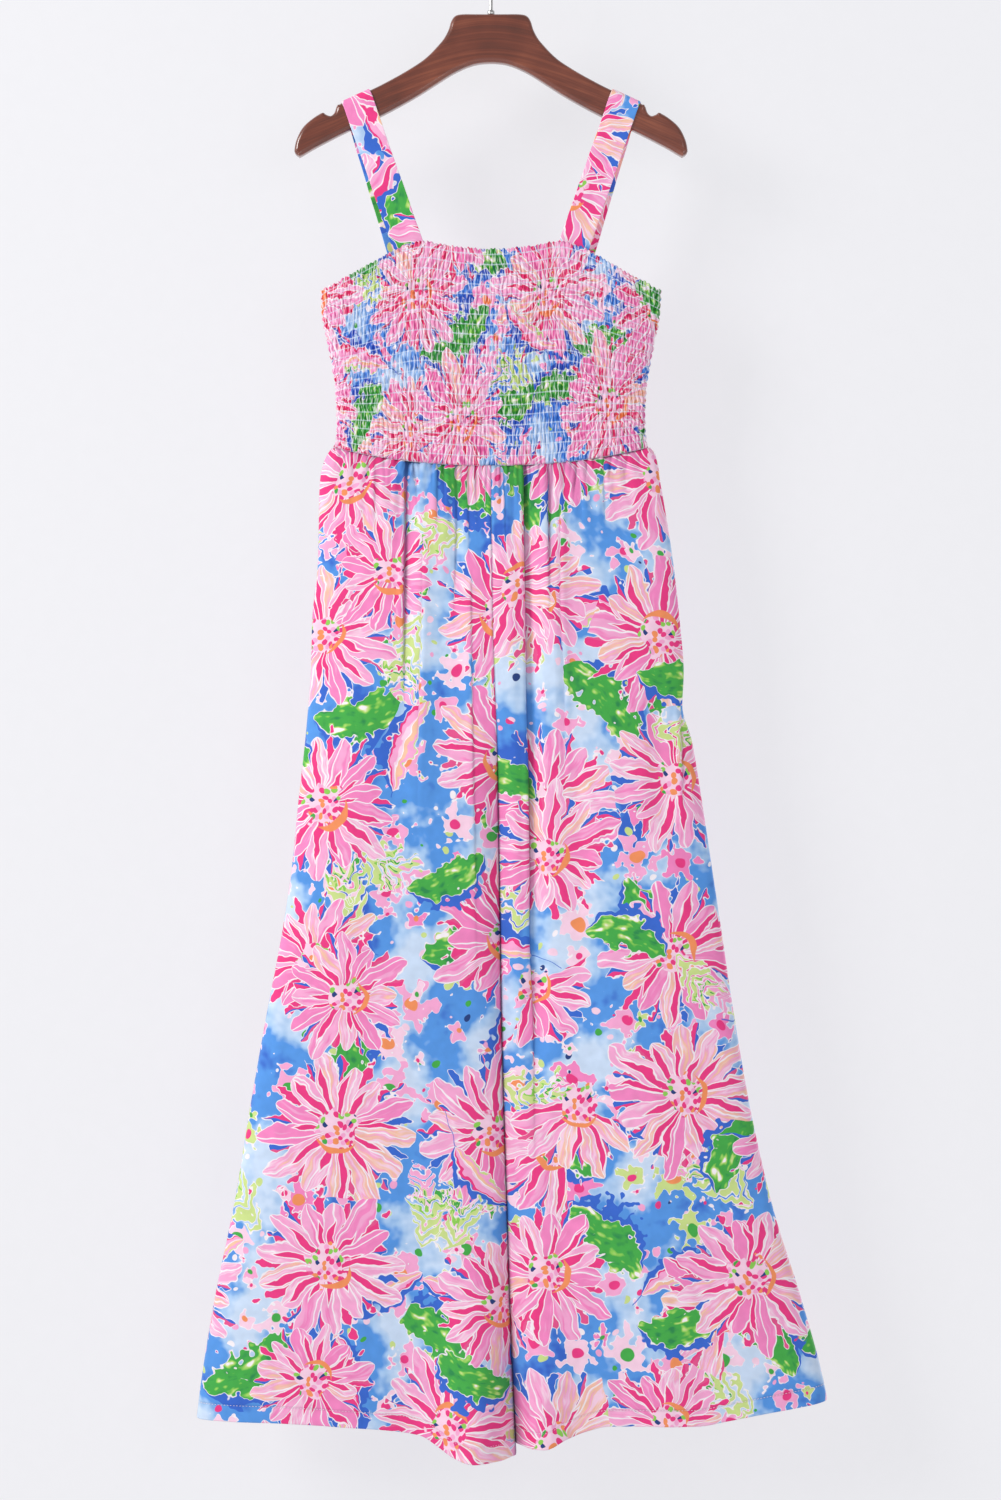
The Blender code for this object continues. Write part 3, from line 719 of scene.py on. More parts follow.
def foldHeight(folds, x, z):
    total = np.zeros(np.broadcast(x, z).shape)
    for x0, z0, x1, z1, height, width in zip(*folds.values()):
        t = (z0 - z) / (z0 - z1)
        strength = within(t, 0.2, 0.3)
        if z1 < hemLevel:
            strength = smooth(t / 0.35)
        line = x0 + (x1 - x0) * np.clip(t, 0.0, 1.0)
        total = total + height * strength * bell(x - line, width)
    return total


def creaseMarks(face, x, z, below):
    # the crisp folds and small gathers: how far they lift the cloth, how much they hide, and their shadow
    lift = np.zeros(np.broadcast(x, z).shape)
    hidden, shadow = lift.copy(), lift.copy()
    creases = frontCreases if face < 0 else backCreases
    for number, (x0, z0, x1, z1, depth, width, side) in enumerate(zip(*creases.values())):
        t = (z0 - z) / (z0 - z1)
        fromSeam = 1.0 if z0 > seamLevel else smooth(t / 0.06)
        strength = depth * fromSeam * smooth((1.0 - np.maximum(t, 0.0)) / 0.6)
        line = x0 + (x1 - x0) * np.clip(t, 0.0, 1.0) + 1.0 * ripple(z, 80.0, 40 + number)
        d = (x - line) * side
        lift = lift - strength * smooth((d + 0.7) / 1.8) * np.clip(1.0 - d / width, 0.0, 1.0)
        lift = lift + 0.45 * strength * bell(d + 3.0, 3.2)
        hidden = hidden + side * 3.2 * strength * smooth((d + 0.6) / 1.6)
        near = 0.85 * bell(d - 0.3, 1.15) + 0.35 * bell(d - 0.3, 4.5) * (d > 0.3)
        shadow = shadow + 0.27 * strength * near
    tucks = frontTucks if face < 0 else backTucks
    for number, (place, depth, length) in enumerate(zip(*tucks.values())):
        line = place + 0.9 * ripple(z, 23.0, 90 + number) - 0.02 * place * below / 30.0
        strength = depth * smooth(1.0 - below / length)
        d = x - line
        lift = lift - 1.25 * strength * bell(d, 1.5)
        hidden = hidden + 0.9 * strength * smooth((d + 0.8) / 1.6)
        shadow = shadow + 0.42 * strength * bell(d, 0.95)
    return lift, hidden, shadow


def gatherHeight(side, across, below):
    total = np.zeros(np.broadcast(across, below).shape)
    for x, depth, length in zip(*gatherRows.values()):
        if x * side < 0:
            continue
        apart = (across - 1.0 + abs(x) / waist["half"]) * waist["half"]
        total = total - depth * bell(apart, gatherWidth) * smooth(1.0 - below / length)
    return total


def legBase(side, face, across, down):
    # a point of the cloth's middle layer, how far the legs have parted, and the heights of waist and hem
    hem = leftHem if side < 0 else rightHem
    zWaist = waist["centreZ"] + 0.3 + waist["rise"] * (1.0 - across) ** waist["power"]
    zHem = along(hem["across"], hem["z"], across)
    if face > 0:
        zHem = zHem + 6.0 * within(across, 0.3, 0.3)
    z = zWaist + (zHem - zWaist) * down
    zTop = waist["centreZ"] + waist["rise"]
    zSide = zTop + (hem["z"][0] - zTop) * down
    zInside = waist["centreZ"] + (hem["z"][-1] - waist["centreZ"]) * down
    rows = legSections
    xSide = along(rows["z"], rows["leftSide" if side < 0 else "rightSide"], zSide)
    turn = smooth((crotch["top"] - zInside) / (crotch["top"] - crotch["low"]))
    # the legs lean on one another and part only near the hem
    groove = 0.03 + 0.10 * turn + crotch["grooveAtHem"] * smooth((-1300.0 - zInside) / 150.0)
    xInside = along(rows["z"], rows["centre"], zInside) + side * groove
    x = xSide + (xInside - xSide) * across
    bulge = (1.0 - turn) * halfOval(across, 2.5) + turn * oval(across, 3.0)
    depth = along(rows["z"], rows["halfDepth"], z)
    clear = within(across, 0.06, 0.05)
    lift = foldHeight(frontFolds if face < 0 else backFolds, x, z) + gatherHeight(side, across, zWaist - z)
    for lobeSide, place, forward, width, start in zip(*lobeRows.values()):
        if lobeSide == side:
            reach = forward if face < 0 else 0.25 * forward
            shape = bell(across - place, width)
            lift = lift + reach * shape * smooth((down - start) / (1.0 - start)) ** 1.5
    y = 0.03 + (depth - 0.03) * bulge + lift * clear
    return np.stack([x, face * y, z], -1), turn, zWaist, zHem


def outwardNormals(point, across, down, face):
    tiny = 1e-4
    a0, a1 = np.clip(across - tiny, 0, 1), np.clip(across + tiny, 0, 1)
    d0, d1 = np.clip(down - tiny, 0, 1), np.clip(down + tiny, 0, 1)
    normal = np.cross(point(a1, down) - point(a0, down), point(across, d1) - point(across, d0))
    normal /= np.linalg.norm(normal, axis=-1, keepdims=True)
    return normal * np.where(normal[..., 1:2] * face < 0, -1.0, 1.0)


def levelRims(normals, down):
    flat = normals * (1.0, 1.0, 0.0)
    flat /= np.linalg.norm(flat, axis=-1, keepdims=True)
    return np.where(((down <= 0.0) | (down >= 1.0))[..., None], flat, normals)


def legSurface(side, face, across, down):
    # the outer face of a leg panel with every fold, pucker and the hem, and its normals
    points, turn, zWaist, zHem = legBase(side, face, across, down)
    normals = outwardNormals(lambda a, d: legBase(side, face, a, d)[0], across, down, face)
    angle = 0.5 * math.pi * turn
    sideways = np.stack([np.full_like(angle, side), 0 * angle, 0 * angle], -1)
    inside = np.stack([-side * np.sin(angle), face * np.cos(angle), 0 * angle], -1)
    normals = np.where((across <= 0.0)[..., None], sideways, normals)
    normals = np.where((across >= 1.0)[..., None], inside, normals)
    normals = levelRims(normals, down)
    x, z = points[..., 0], points[..., 2]
    below, above = zWaist - z, z - zHem
    spot = (1.0 - across) * waist["half"]
    wide = legFinish["puckerPitch"]
    number = (3 if side < 0 else 0) + (7 if face < 0 else 0)
    small = np.abs(np.sin(math.pi * (spot / wide + 0.7 * ripple(spot, 8.0, 11 + number))))
    reach = 15.0 + 9.0 * ripple(spot, 6.0, 12 + number)
    uneven = 0.7 + 0.5 * ripple(spot, 13.0, 15 + number)
    extra = legFinish["pucker"] * (small - 0.6) * np.exp(-below / reach) * uneven
    extra = extra - legFinish["seamDip"] * bell(below, 2.6) + 0.7 * bell(below - 6.0, 4.0)
    lift, hidden, shadow = creaseMarks(face, x, z, below)
    extra = extra + lift
    extra = extra + 0.9 * ripple2(x, z, 42.0, 130.0, 21 + number)
    extra = extra + 0.35 * ripple2(x, z, 16.0, 55.0, 22 + number)
    # hem: a shallow channel where it is stitched, a fuller edge below, and slight drag marks
    line = above - legFinish["hemLine"]
    drag = ripple(x, 3.2, 23 + number) * bell(line, 7.0)
    extra = extra - 0.40 * bell(line, 1.1) + 0.25 * smooth(-line / 2.0) + 0.22 * drag
    extra = extra + 0.5 * ripple(x, 24.0, 24 + number) * smooth((30.0 - above) / 30.0)
    clear = within(across, 0.05, 0.04)
    # a fine valley down the side seam and the centre seam
    fromSide = np.abs(x - points[..., :1, 0]) if x.ndim > 1 else 10.0
    seam = -0.5 * bell(fromSide, 1.8) * (across > 0)
    fromInside = np.abs(x - points[..., -1:, 0]) if x.ndim > 1 else 10.0
    seam = seam - 0.7 * bell(fromInside, 1.6) * (1.0 - turn)
    # painted shadow in the gathers, under the waist seam, down the parting between the legs, along the centre
    # seam and in the hem's stitched channel
    shadow = shadow - 0.10 * gatherHeight(side, across, below)
    shadow = shadow * clear + 0.20 * bell(below, 1.3) + 0.14 * np.exp(-below / 7.0)
    shadow = shadow + turn * (0.90 * bell(fromInside, 1.4) + 0.25 * np.exp(-fromInside / 7.0))
    shadow = shadow + 0.6 * bell(fromInside, 0.9) * (1.0 - turn) + 0.35 * bell(line, 0.8)
    outer = points + (0.5 * walls["leg"] + extra * clear + seam)[..., None] * normals
    return outer, normals, points, zWaist, hidden, shadow


def spaced(count, crowds):
    # places from 0 to 1, closer together round each (centre, width, extra)
    at = np.linspace(0.0, 1.0, 4001)
    density = 1.0 + sum(extra * bell(at - centre, width) for centre, width, extra in crowds)
    total = np.concatenate([[0.0], np.cumsum(0.5 * (density[1:] + density[:-1]))])
    places = np.interp(np.linspace(0.0, total[-1], count + 1), total, at)
    places[0], places[-1] = 0.0, 1.0
    return places


def gridMesh(name, points, maps):
    # a flat grid whose rows and columns are moved to these points, with its flat-cloth maps
    rows, columns = points.shape[:2]
    bm = bmesh.new()
    bmesh.ops.create_grid(bm, x_segments=columns - 1, y_segments=rows - 1, size=0.5)
    mesh = bpy.data.meshes.new(name)
    bm.to_mesh(mesh)
    bm.free()
    flat = np.empty(len(mesh.vertices) * 3, np.float32)
    mesh.vertices.foreach_get("co", flat)
    flat = flat.reshape(-1, 3)
    j = np.rint((flat[:, 0] + 0.5) * (columns - 1)).astype(int)
    i = np.rint((0.5 - flat[:, 1]) * (rows - 1)).astype(int)
    mesh.vertices.foreach_set("co", (points[i, j] * mm).astype(np.float32).ravel())
    corner = np.empty(len(mesh.loops), np.int32)
    mesh.loops.foreach_get("vertex_index", corner)
    for label, values in maps.items():
        layer = mesh.uv_layers.new(name=label)
        layer.uv.foreach_set("vector", values[i, j][corner].astype(np.float32).ravel())
    mesh.polygons.foreach_set("use_smooth", np.ones(len(mesh.polygons), bool))
    mesh.update()
    return mesh


def addPiece(name, mesh, nodes, slotName, *finishes):
    for finish in finishes:
        mesh.materials.append(finish)
    piece = bpy.data.objects.new(name, mesh)
    bpy.context.scene.collection.objects.link(piece)
    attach(piece, "root")
    if nodes:
        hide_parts(*nodes)
    return piece


def clothPanel(name, node, points, outward, maps, face):
    # one woven layer: its face outside, its paler reverse inside
    mesh = gridMesh(name, points, maps)
    middle = mesh.polygons[len(mesh.polygons) // 2].normal
    if middle.dot(Vector(outward)) < 0:
        mesh.flip_normals()
    piece = addPiece(name, mesh, [node], "printed_cloth", face, clothBack)
    wall = piece.modifiers.new("wall", "SOLIDIFY")
    wall.thickness = walls["shown"] * mm
    wall.offset = -1.0
    wall.material_offset = 1
    wall.material_offset_rim = 0
    return piece


def legPanel(name, node, side, face, cutPlace, counts):
    crowds = [(0.0, 0.03, 1.6), (1.0, 0.05, 2.2)]
    if face < 0:
        crowds += [(0.49, 0.06, 0.8)] if side < 0 else [(0.83, 0.08, 1.2)]
    columns = spaced(counts[0], crowds)
    rows = spaced(counts[1], [(0.0, 0.035, 4.0), (1.0, 0.022, 4.5), (0.25, 0.06, 0.6)])
    across, down = np.meshgrid(columns, rows)
    outer, normals, base, zWaist, hidden, shadow = legSurface(side, face, across, down)
    # flat-cloth place: along the grain down, across by the cloth's own length from the panel's middle
    stepLength = np.hypot(np.diff(base[..., 0], axis=1), 0.55 * np.diff(base[..., 1], axis=1))
    length = np.concatenate([np.zeros((len(rows), 1)), np.cumsum(stepLength, axis=1)], axis=1)
    middle = len(columns) // 2
    length = length - length[:, middle : middle + 1]
    hidden = hidden - hidden[:, middle : middle + 1]
    full = 1.0 + legFinish["fullness"] * smooth(1.0 - (zWaist - outer[..., 2]) / 130.0)
    u = (outer[:, middle, 0][:, None] - side * length * full + hidden) * (1.0 if face < 0 else -1.0)
    cloth = np.stack([u + cutPlace[0], outer[..., 2] + cutPlace[1]], -1)
    # painted shade from the creases, gathers, seams and the gap between the legs, carried to the cloth's
    # material
    paintedShade = np.stack([np.clip(shadow, 0.0, 1.0), 0.0 * shadow], -1)
    piece = clothPanel(name, node, outer, (0.0, face, 0.0), {"cloth": cloth, "paintedShade": paintedShade}, clothFace)
    return piece


bodiceTop = table(
    ("out", "z"),
    (0, -294.1), (33, -291.8), (66, -286.5), (82, -289.5), (98, -297), (130, -314.5),
    (163.4, -332),
)
bodiceSides = table(
    ("z", "halfWidth", "halfDepth"),
    (-484.2, 152, 11),
    (-480.3, 149.9, 11.2),
    (-462.9, 148, 11.8),
    (-432.8, 148.9, 12.4),
    (-403.7, 152.8, 12.6),
    (-377.5, 158, 12.4),
    (-357, 162, 12),
    (-332, 163.4, 11.6),
)
shirring = {
    "columns": 384,
    "rowsEach": 4,  # mesh rows to each elastic row
    "elasticRows": 21.5,
    "puffHeight": 1.3,
    "puckerPitch": 4.0,
    "puckerDepth": 1.45,
    "drawnUp": 1.45,  # cloth width over shown width
    "toothJog": 1.4,  # how far the print jumps from pucker to pucker
}


def bodiceBase(face, across, down):
    out = np.abs(2.0 * across - 1.0)
    zTop = along(bodiceTop["out"], bodiceTop["z"], out * bodiceTop["out"][-1])
    zWaist = waist["centreZ"] + waist["rise"] * out ** waist["power"]
    z = zTop + (zWaist - zTop) * down
    zEdge = bodiceTop["z"][-1]
    zSide = zEdge + (waist["centreZ"] + waist["rise"] - zEdge) * down
    halfWidth = along(bodiceSides["z"], bodiceSides["halfWidth"], zSide)
    halfDepth = along(bodiceSides["z"], bodiceSides["halfDepth"], zSide)
    x = (2.0 * across - 1.0) * halfWidth
    y = 0.03 + (halfDepth - 0.03) * oval(across, 2.5)
    return np.stack([x, face * y, z], -1)


def bodicePanel(name, node, face, cutPlace):
    count = int(shirring["elasticRows"] * shirring["rowsEach"])
    columns = spaced(shirring["columns"], [(0.0, 0.02, 1.5), (1.0, 0.02, 1.5)])
    across, down = np.meshgrid(columns, np.linspace(0.0, 1.0, count + 1))
    base = bodiceBase(face, across, down)
    normals = outwardNormals(lambda a, d: bodiceBase(face, a, d), across, down, face)
    for column, sideways in ((0, -1.0), (-1, 1.0)):
        normals[:, column] = (sideways, 0.0, 0.0)
    normals = levelRims(normals, down)
    stepLength = np.linalg.norm(np.diff(base[..., :2], axis=1), axis=-1)
    length = np.concatenate([np.zeros((len(base), 1)), np.cumsum(stepLength, axis=1)], axis=1)
    length = length - 0.5 * length[:, -1:]
    row = shirring["elasticRows"] * down + 0.5
    seed = 60 if face < 0 else 70
    phase = length / shirring["puckerPitch"] + 0.26 * ripple2(length, row - 0.5, 9.0, 1.0, seed)
    phase = phase + 0.5 * ripple2(length, row, 30.0, 4.0, seed + 1)
    pucker = np.abs(np.sin(math.pi * phase)) ** 0.85
    strength = 0.72 + 0.42 * ripple2(length, row, 12.0, 1.6, seed + 2)
    puff = np.abs(np.sin(math.pi * row)) ** 0.8
    lift = 0.5 * walls["bodice"] + shirring["puffHeight"] * puff * (0.55 + 0.45 * pucker)
    lift = lift + shirring["puckerDepth"] * strength * (pucker - 0.65) * (0.5 + 0.5 * puff)
    lift = lift + 0.5 * ripple2(length, row, 26.0, 5.0, seed + 3) * within(across, 0.05, 0.05)
    outer = base + lift[..., None] * normals
    # the top edge frills a little where the last row of elastic pulls it in
    fromTop = down * 200.0
    frill = 1.5 * (pucker - 0.5) + 0.9 * ripple(length, 3.1, seed + 5)
    outer[..., 2] += frill * bell(fromTop, 3.6)
    # print: squeezed across, with each pucker's strip a little out of line with the next
    jogs = np.random.default_rng(seed + 4).uniform(-1.0, 1.0, (512, 64))
    jog = jogs[np.floor(phase).astype(int) % 512, np.floor(row).astype(int) % 64]
    swell = phase + 0.5 * np.sin(2 * math.pi * phase) / (2 * math.pi)
    u = shirring["puckerPitch"] * shirring["drawnUp"] * swell * (1.0 if face < 0 else -1.0)
    v = base[..., 2] * 1.05 + shirring["toothJog"] * jog
    maps = {
        "cloth": np.stack([u + cutPlace[0], v + cutPlace[1]], -1),
        "shirr": np.stack([phase, row], -1),
    }
    piece = clothPanel(name, node, outer, (0.0, face, 0.0), maps, clothShirred)
    return piece


strapSizes = {
    "width": 30.0,
    "x": 131.0,
    "tuck": 15.0,
    "footX": 81.5,
    "backFootX": 88.0,
    "footZ": -285.4,
    "footY": 8.4,
    "backFootY": 8.0,
    "around": 32,
    "rings": 190,
}
strapOver = table(
    ("y", "lift"),
    (-8.1, -4.6), (-7.7, -2.2), (-6.3, -0.2), (-3.2, 1.1), (0, 1.2), (3.2, 1.1), (6.3, -0.2), (7.7, -2.2),
    (8.1, -4.6),
)
strapFall = (0.12, 0.3, 0.5, 0.7, 0.86, 1.0)


def rolledMesh(name, rings, maps=None):
    # a grid rolled into a tube: its long seam merged and its two ends filled
    mesh = gridMesh(name, rings, maps or {})
    bm = bmesh.new()
    bm.from_mesh(mesh)
    bmesh.ops.remove_doubles(bm, verts=bm.verts, dist=1e-7)
    bmesh.ops.holes_fill(bm, edges=[e for e in bm.edges if e.is_boundary], sides=0)
    bmesh.ops.recalc_face_normals(bm, faces=bm.faces)
    if bm.calc_volume(signed=True) < 0:
        bmesh.ops.reverse_faces(bm, faces=bm.faces)
    for f in bm.faces:
        f.smooth = len(f.verts) < 5
    bm.to_mesh(mesh)
    bm.free()
    return mesh


def armFrame(side):
    # where the strap crosses the straight stretch of the hanger's edge: the place, outward along it, and up
    first = hangerForm["straightFrom"]
    (x0, x1), (z0, z1) = (hangerEdge[k][first : first + 2] for k in ("x", "z"))
    slope = (z1 - z0) / (x1 - x0)
    wide = np.array([side, 0.0, slope]) / math.hypot(1.0, slope)
    up = np.array([-side * slope, 0.0, 1.0]) / math.hypot(1.0, slope)
    return np.array([side * strapSizes["x"], 0.0, z0 + (strapSizes["x"] - x0) * slope]), wide, up


def strapLeg(side, start, wide, footX, footY):
    foot = np.array([side * footX, footY, strapSizes["footZ"]])
    fall = (foot - start) * (1.0, 0.0, 1.0)
    fall /= np.linalg.norm(fall)
    flat = side * np.array([-fall[2], 0.0, fall[0]])
    centres = [start + (foot - start) * t for t in strapFall] + [foot + strapSizes["tuck"] * fall]
    turned = [wide + (flat - wide) * smooth(t) for t in strapFall] + [flat]
    return centres, [w / np.linalg.norm(w) for w in turned]


def strapBand(name, node, side, cutPlace):
    edge, wide, up = armFrame(side)
    top = [edge + up * h + np.array([0, y, 0]) for y, h in zip(*strapOver.values())]
    front, frontWide = strapLeg(side, top[0], wide, strapSizes["footX"], -strapSizes["footY"])
    back, backWide = strapLeg(side, top[-1], wide, strapSizes["backFootX"], strapSizes["backFootY"])
    centres = np.array(front[::-1] + top + back)
    wides = np.array(frontWide[::-1] + [wide] * len(top) + backWide)
    run = np.concatenate([[0.0], np.cumsum(np.linalg.norm(np.diff(centres, axis=0), axis=1))])
    crown = run[len(front) + 4] / run[-1]
    at = spaced(strapSizes["rings"], [(crown, 0.035, 6.0)]) * run[-1]
    path = np.stack([along(run, centres[:, k], at) for k in range(3)], -1)
    across = np.stack([along(run, wides[:, k], at) for k in range(3)], -1)
    across /= np.linalg.norm(across, axis=1, keepdims=True)
    ahead = np.gradient(path, at, axis=0)
    out = np.cross(ahead, across)
    out /= np.linalg.norm(out, axis=1, keepdims=True)
    # pressed flat, a little fuller at the two folded edges
    turn = np.linspace(0.0, 2.0 * math.pi, strapSizes["around"] + 1)
    c, s = np.cos(turn), np.sin(turn)
    wave = 0.25 * ripple(at, 17.0, 80 + side)
    half = 0.5 * strapSizes["width"] - 0.1 + wave
    a = np.sign(c) * np.abs(c) ** 0.28
    b = np.sign(s) * np.abs(s) ** 0.42 * (0.9 + 0.18 * np.abs(a) ** 6)
    ease = 0.35 * ripple2(at[:, None], a[None, :] * 15.0, 26.0, 9.0, 83 + side)
    near = smooth(np.abs(at - crown * run[-1]) / 40.0)[:, None]
    rings = (path[:, None] + (half[:, None] * a)[..., None] * across[:, None]
             + (0.5 * walls["strap"] * b + ease * near)[..., None] * out[:, None])
    skin = np.concatenate([[0.0], np.cumsum(np.hypot(np.diff(15.0 * a), np.diff(0.8 * b)))])
    cloth = np.stack(np.broadcast_arrays(skin[None, :] + cutPlace[0], at[:, None] + cutPlace[1]), -1)
    mesh = rolledMesh(name, rings, {"cloth": cloth, "paintedShade": 0.0 * cloth})
    piece = addPiece(name, mesh, [node], "printed_cloth", clothFace)
    return piece


hangerEdge = table(
    ("x", "z"),
    (12, -64.2), (27, -64.2), (34.5, -65.8), (38.5, -71), (41.3, -79.7), (46, -88.3), (52.4, -95.9),
    (60, -103.8), (68.6, -110.8), (84.9, -121), (101.3, -130), (114.8, -136.8), (144.2, -150.3),
    (149.2, -153.2), (151.6, -159.5), (155.2, -162.7), (159.4, -161.6), (163.9, -159.9), (174.7, -166.7),
    (182.9, -174.8), (188.4, -185.8), (190.5, -195.5), (189.6, -199.2), (187, -201.4), (183.6, -201.2),
    (169.3, -192.9), (139.4, -177.6), (104, -161.2), (74, -144.9), (52.4, -131.3), (35.9, -121),
    (19.6, -113.7), (7, -111.2),
)
# edgeRound is the round's reach in from the outline, sideRound its reach along the thickness
hangerForm = {"halfThick": 7.0, "edgeRound": 4.6, "sideRound": 4.0, "rounds": 7, "fine": 4,
              "straightFrom": 11}


def hangerArms():
    right = np.stack([hangerEdge["x"], hangerEdge["z"]], -1)
    edge = np.concatenate([right, right[::-1] * (-1.0, 1.0)])
    # a smooth closed curve through the outline
    count, fine = len(edge), hangerForm["fine"]
    t = np.arange(count * fine) / fine
    i, f = np.floor(t).astype(int), (t % 1.0)[:, None]
    p0, p1, p2, p3 = (edge[(i + k) % count] for k in (-1, 0, 1, 2))
    edge = 0.5 * (2 * p1 + (p2 - p0) * f + (2 * p0 - 5 * p1 + 4 * p2 - p3) * f**2
                  + (3 * p1 - p0 - 3 * p2 + p3) * f**3)
    ahead = np.roll(edge, -1, 0) - np.roll(edge, 1, 0)
    ahead /= np.linalg.norm(ahead, axis=1, keepdims=True)
    inward = np.stack([ahead[:, 1], -ahead[:, 0]], -1)
    # the edge round shrinks at tight corners, to fit the largest circle that touches there
    apart = edge[None] - edge[:, None]
    facing = (apart * inward[:, None]).sum(-1)
    room = (apart**2).sum(-1) / (2 * np.where(facing > 1e-6, facing, np.inf))
    room = np.where(facing > 1e-6, room, np.inf).min(axis=1)
    reach = np.minimum(hangerForm["edgeRound"], 0.75 * room)
    turn = np.linspace(math.pi / 2, 0.0, hangerForm["rounds"] + 1)
    inset = 1 - np.cos(turn)
    y = -(hangerForm["halfThick"] - hangerForm["sideRound"]) - hangerForm["sideRound"] * np.sin(turn)
    inset = np.concatenate([[inset[0] + 0.15], inset, inset[::-1], [inset[0] + 0.15]])
    y = np.concatenate([[y[0]], y, -y[::-1], [-y[0]]])
    flat = edge[None] + (inset[:, None] * reach[None])[..., None] * inward[None]
    flat = np.concatenate([flat, flat[:, :1]], axis=1)
    rings = np.stack([flat[..., 0], np.broadcast_to(y[:, None], flat.shape[:2]), flat[..., 1]], -1)
    mesh = rolledMesh("hangerWoodArms", rings)
    return addPiece("hangerWoodArms", mesh, ["hanger_wood"], "hanger_wood", woodFinish)


# wire is its radius, and bow the bend's radius to the middle of the wire
hookForm = {"wire": 1.8, "bow": 20.0, "footZ": -63.9, "stemFrom": 5.0, "around": 16}
# the wire's way up from the collar to the bow, and the turned collar with its eased edges
hookStem = table(("x", "z"), (0, -54), (0, -48.5), (1.6, -44.6), (5.4, -40.8), (10, -37.2))
hookCollar = table(
    ("height", "radius"),
    (0, 3.1), (0.15, 3.45), (0.6, 3.6), (3.1, 3.6), (3.6, 3.45), (3.85, 3), (4, 2.2), (4.1, 1.8),
)


def hookWire():
    base = hookForm["footZ"]
    bowZ = hookForm["wire"] - hookForm["bow"]
    bend = [(0.0, base + hookForm["stemFrom"]), *zip(*hookStem.values())]
    turn = np.radians(np.linspace(-42.0, 188.0, 48))
    bow = [(hookForm["bow"] * math.cos(a), bowZ + hookForm["bow"] * math.sin(a)) for a in turn]
    knots = np.array(bend + bow)
    run = np.concatenate([[0.0], np.cumsum(np.linalg.norm(np.diff(knots, axis=0), axis=1))])
    at = np.linspace(0.0, run[-1], 120)
    path = np.stack([along(run, knots[:, 0], at), along(run, knots[:, 1], at)], -1)
    radius = hookForm["wire"] * np.sqrt(np.clip(1.0 - smooth((at - run[-1] + 2.4) / 2.4) ** 2 * 0.8, 0, 1))
    collar = np.stack([0.0 * hookCollar["height"], base + hookCollar["height"]], -1)
    path = np.concatenate([collar, path])
    radius = np.concatenate([hookCollar["radius"], radius])
    steps = np.gradient(path, axis=0)
    steps /= np.linalg.norm(steps, axis=1, keepdims=True)
    sideOn = np.stack([steps[:, 1], -steps[:, 0]], -1)
    a = np.linspace(0.0, 2.0 * math.pi, hookForm["around"] + 1)
    reach = radius[:, None] * np.cos(a)
    rings = np.stack([path[:, :1] + sideOn[:, :1] * reach, radius[:, None] * np.sin(a),
                      path[:, 1:] + sideOn[:, 1:] * reach], -1)
    mesh = rolledMesh("hangerHookWire", rings)
    return addPiece("hangerHookWire", mesh, ["hanger_hook"], "hook_steel", steelFinish)


stitchSizes = {"pitch": 3.1, "long": 2.3, "wide": 0.5}


def hemStitches(name, side, face):
    # small raised stitches in the channel above the hem
    fine = np.linspace(0.004, 0.996, 900)
    hem = leftHem if side < 0 else rightHem
    zHem = along(hem["across"], hem["z"], fine)
    zWaist = waist["centreZ"] + 0.3 + waist["rise"] * (1.0 - fine) ** waist["power"]
    down = 1.0 - legFinish["hemLine"] / (zWaist - zHem)
    line, normals = legSurface(side, face, fine, down)[:2]
    run = np.concatenate([[0.0], np.cumsum(np.linalg.norm(np.diff(line, axis=0), axis=1))])
    at = np.arange(1.5, run[-1] - 1.0, stitchSizes["pitch"])

    def onLine(place, values):
        return Vector([float(np.interp(place, run, values[:, k])) for k in range(3)])

    bm = bmesh.new()
    for place in at:
        centre = onLine(place, line)
        ahead = (onLine(place + 0.8, line) - onLine(place - 0.8, line)).normalized()
        out = onLine(place, normals)
        up = out.cross(ahead).normalized()
        out = ahead.cross(up).normalized()
        turn = Matrix((ahead, up, out)).transposed().to_4x4()
        turn.translation = (centre + 0.10 * out) * mm
        size = Matrix.Diagonal((0.5 * stitchSizes["long"] * mm, 0.5 * stitchSizes["wide"] * mm,
                                0.5 * stitchSizes["wide"] * mm, 1.0))
        bmesh.ops.create_uvsphere(bm, u_segments=6, v_segments=4, radius=1.0, matrix=turn @ size)
    bmesh.ops.recalc_face_normals(bm, faces=bm.faces)
    for f in bm.faces:
        f.smooth = True
    mesh = bpy.data.meshes.new(name)
    bm.to_mesh(mesh)
    bm.free()
    return addPiece(name, mesh, [], "printed_cloth", threadFinish)


strapBand("strapLeftBand", "strap_left", -1, (1865.0, 825.0))
strapBand("strapRightBand", "strap_right", 1, (279.0, -307.0))
hangerArms()
hookWire()
print("hanger and straps made")
bodicePanel("bodiceFrontShirred", "bodice_front", -1, (1170.0, 1080.0))
bodicePanel("bodiceBackShirred", "bodice_back", 1, (-150.0, -150.0))
print("bodice shirred")
legPanel("legFrontLeftPanel", "leg_front_left", -1, -1, (1875.0, -50.0), (250, 190))
legPanel("legFrontRightPanel", "leg_front_right", 1, -1, (250.0, -375.0), (250, 190))
legPanel("legBackLeftPanel", "leg_back_left", -1, 1, (2675.0, 225.0), (186, 160))
legPanel("legBackRightPanel", "leg_back_right", 1, 1, (3410.0, 200.0), (186, 160))
for face, faceName in ((-1, "Front"), (1, "Back")):
    for side, sideName in ((-1, "Left"), (1, "Right")):
        hemStitches("hemStitches" + faceName + sideName, side, face)
print("legs hung and hemmed")


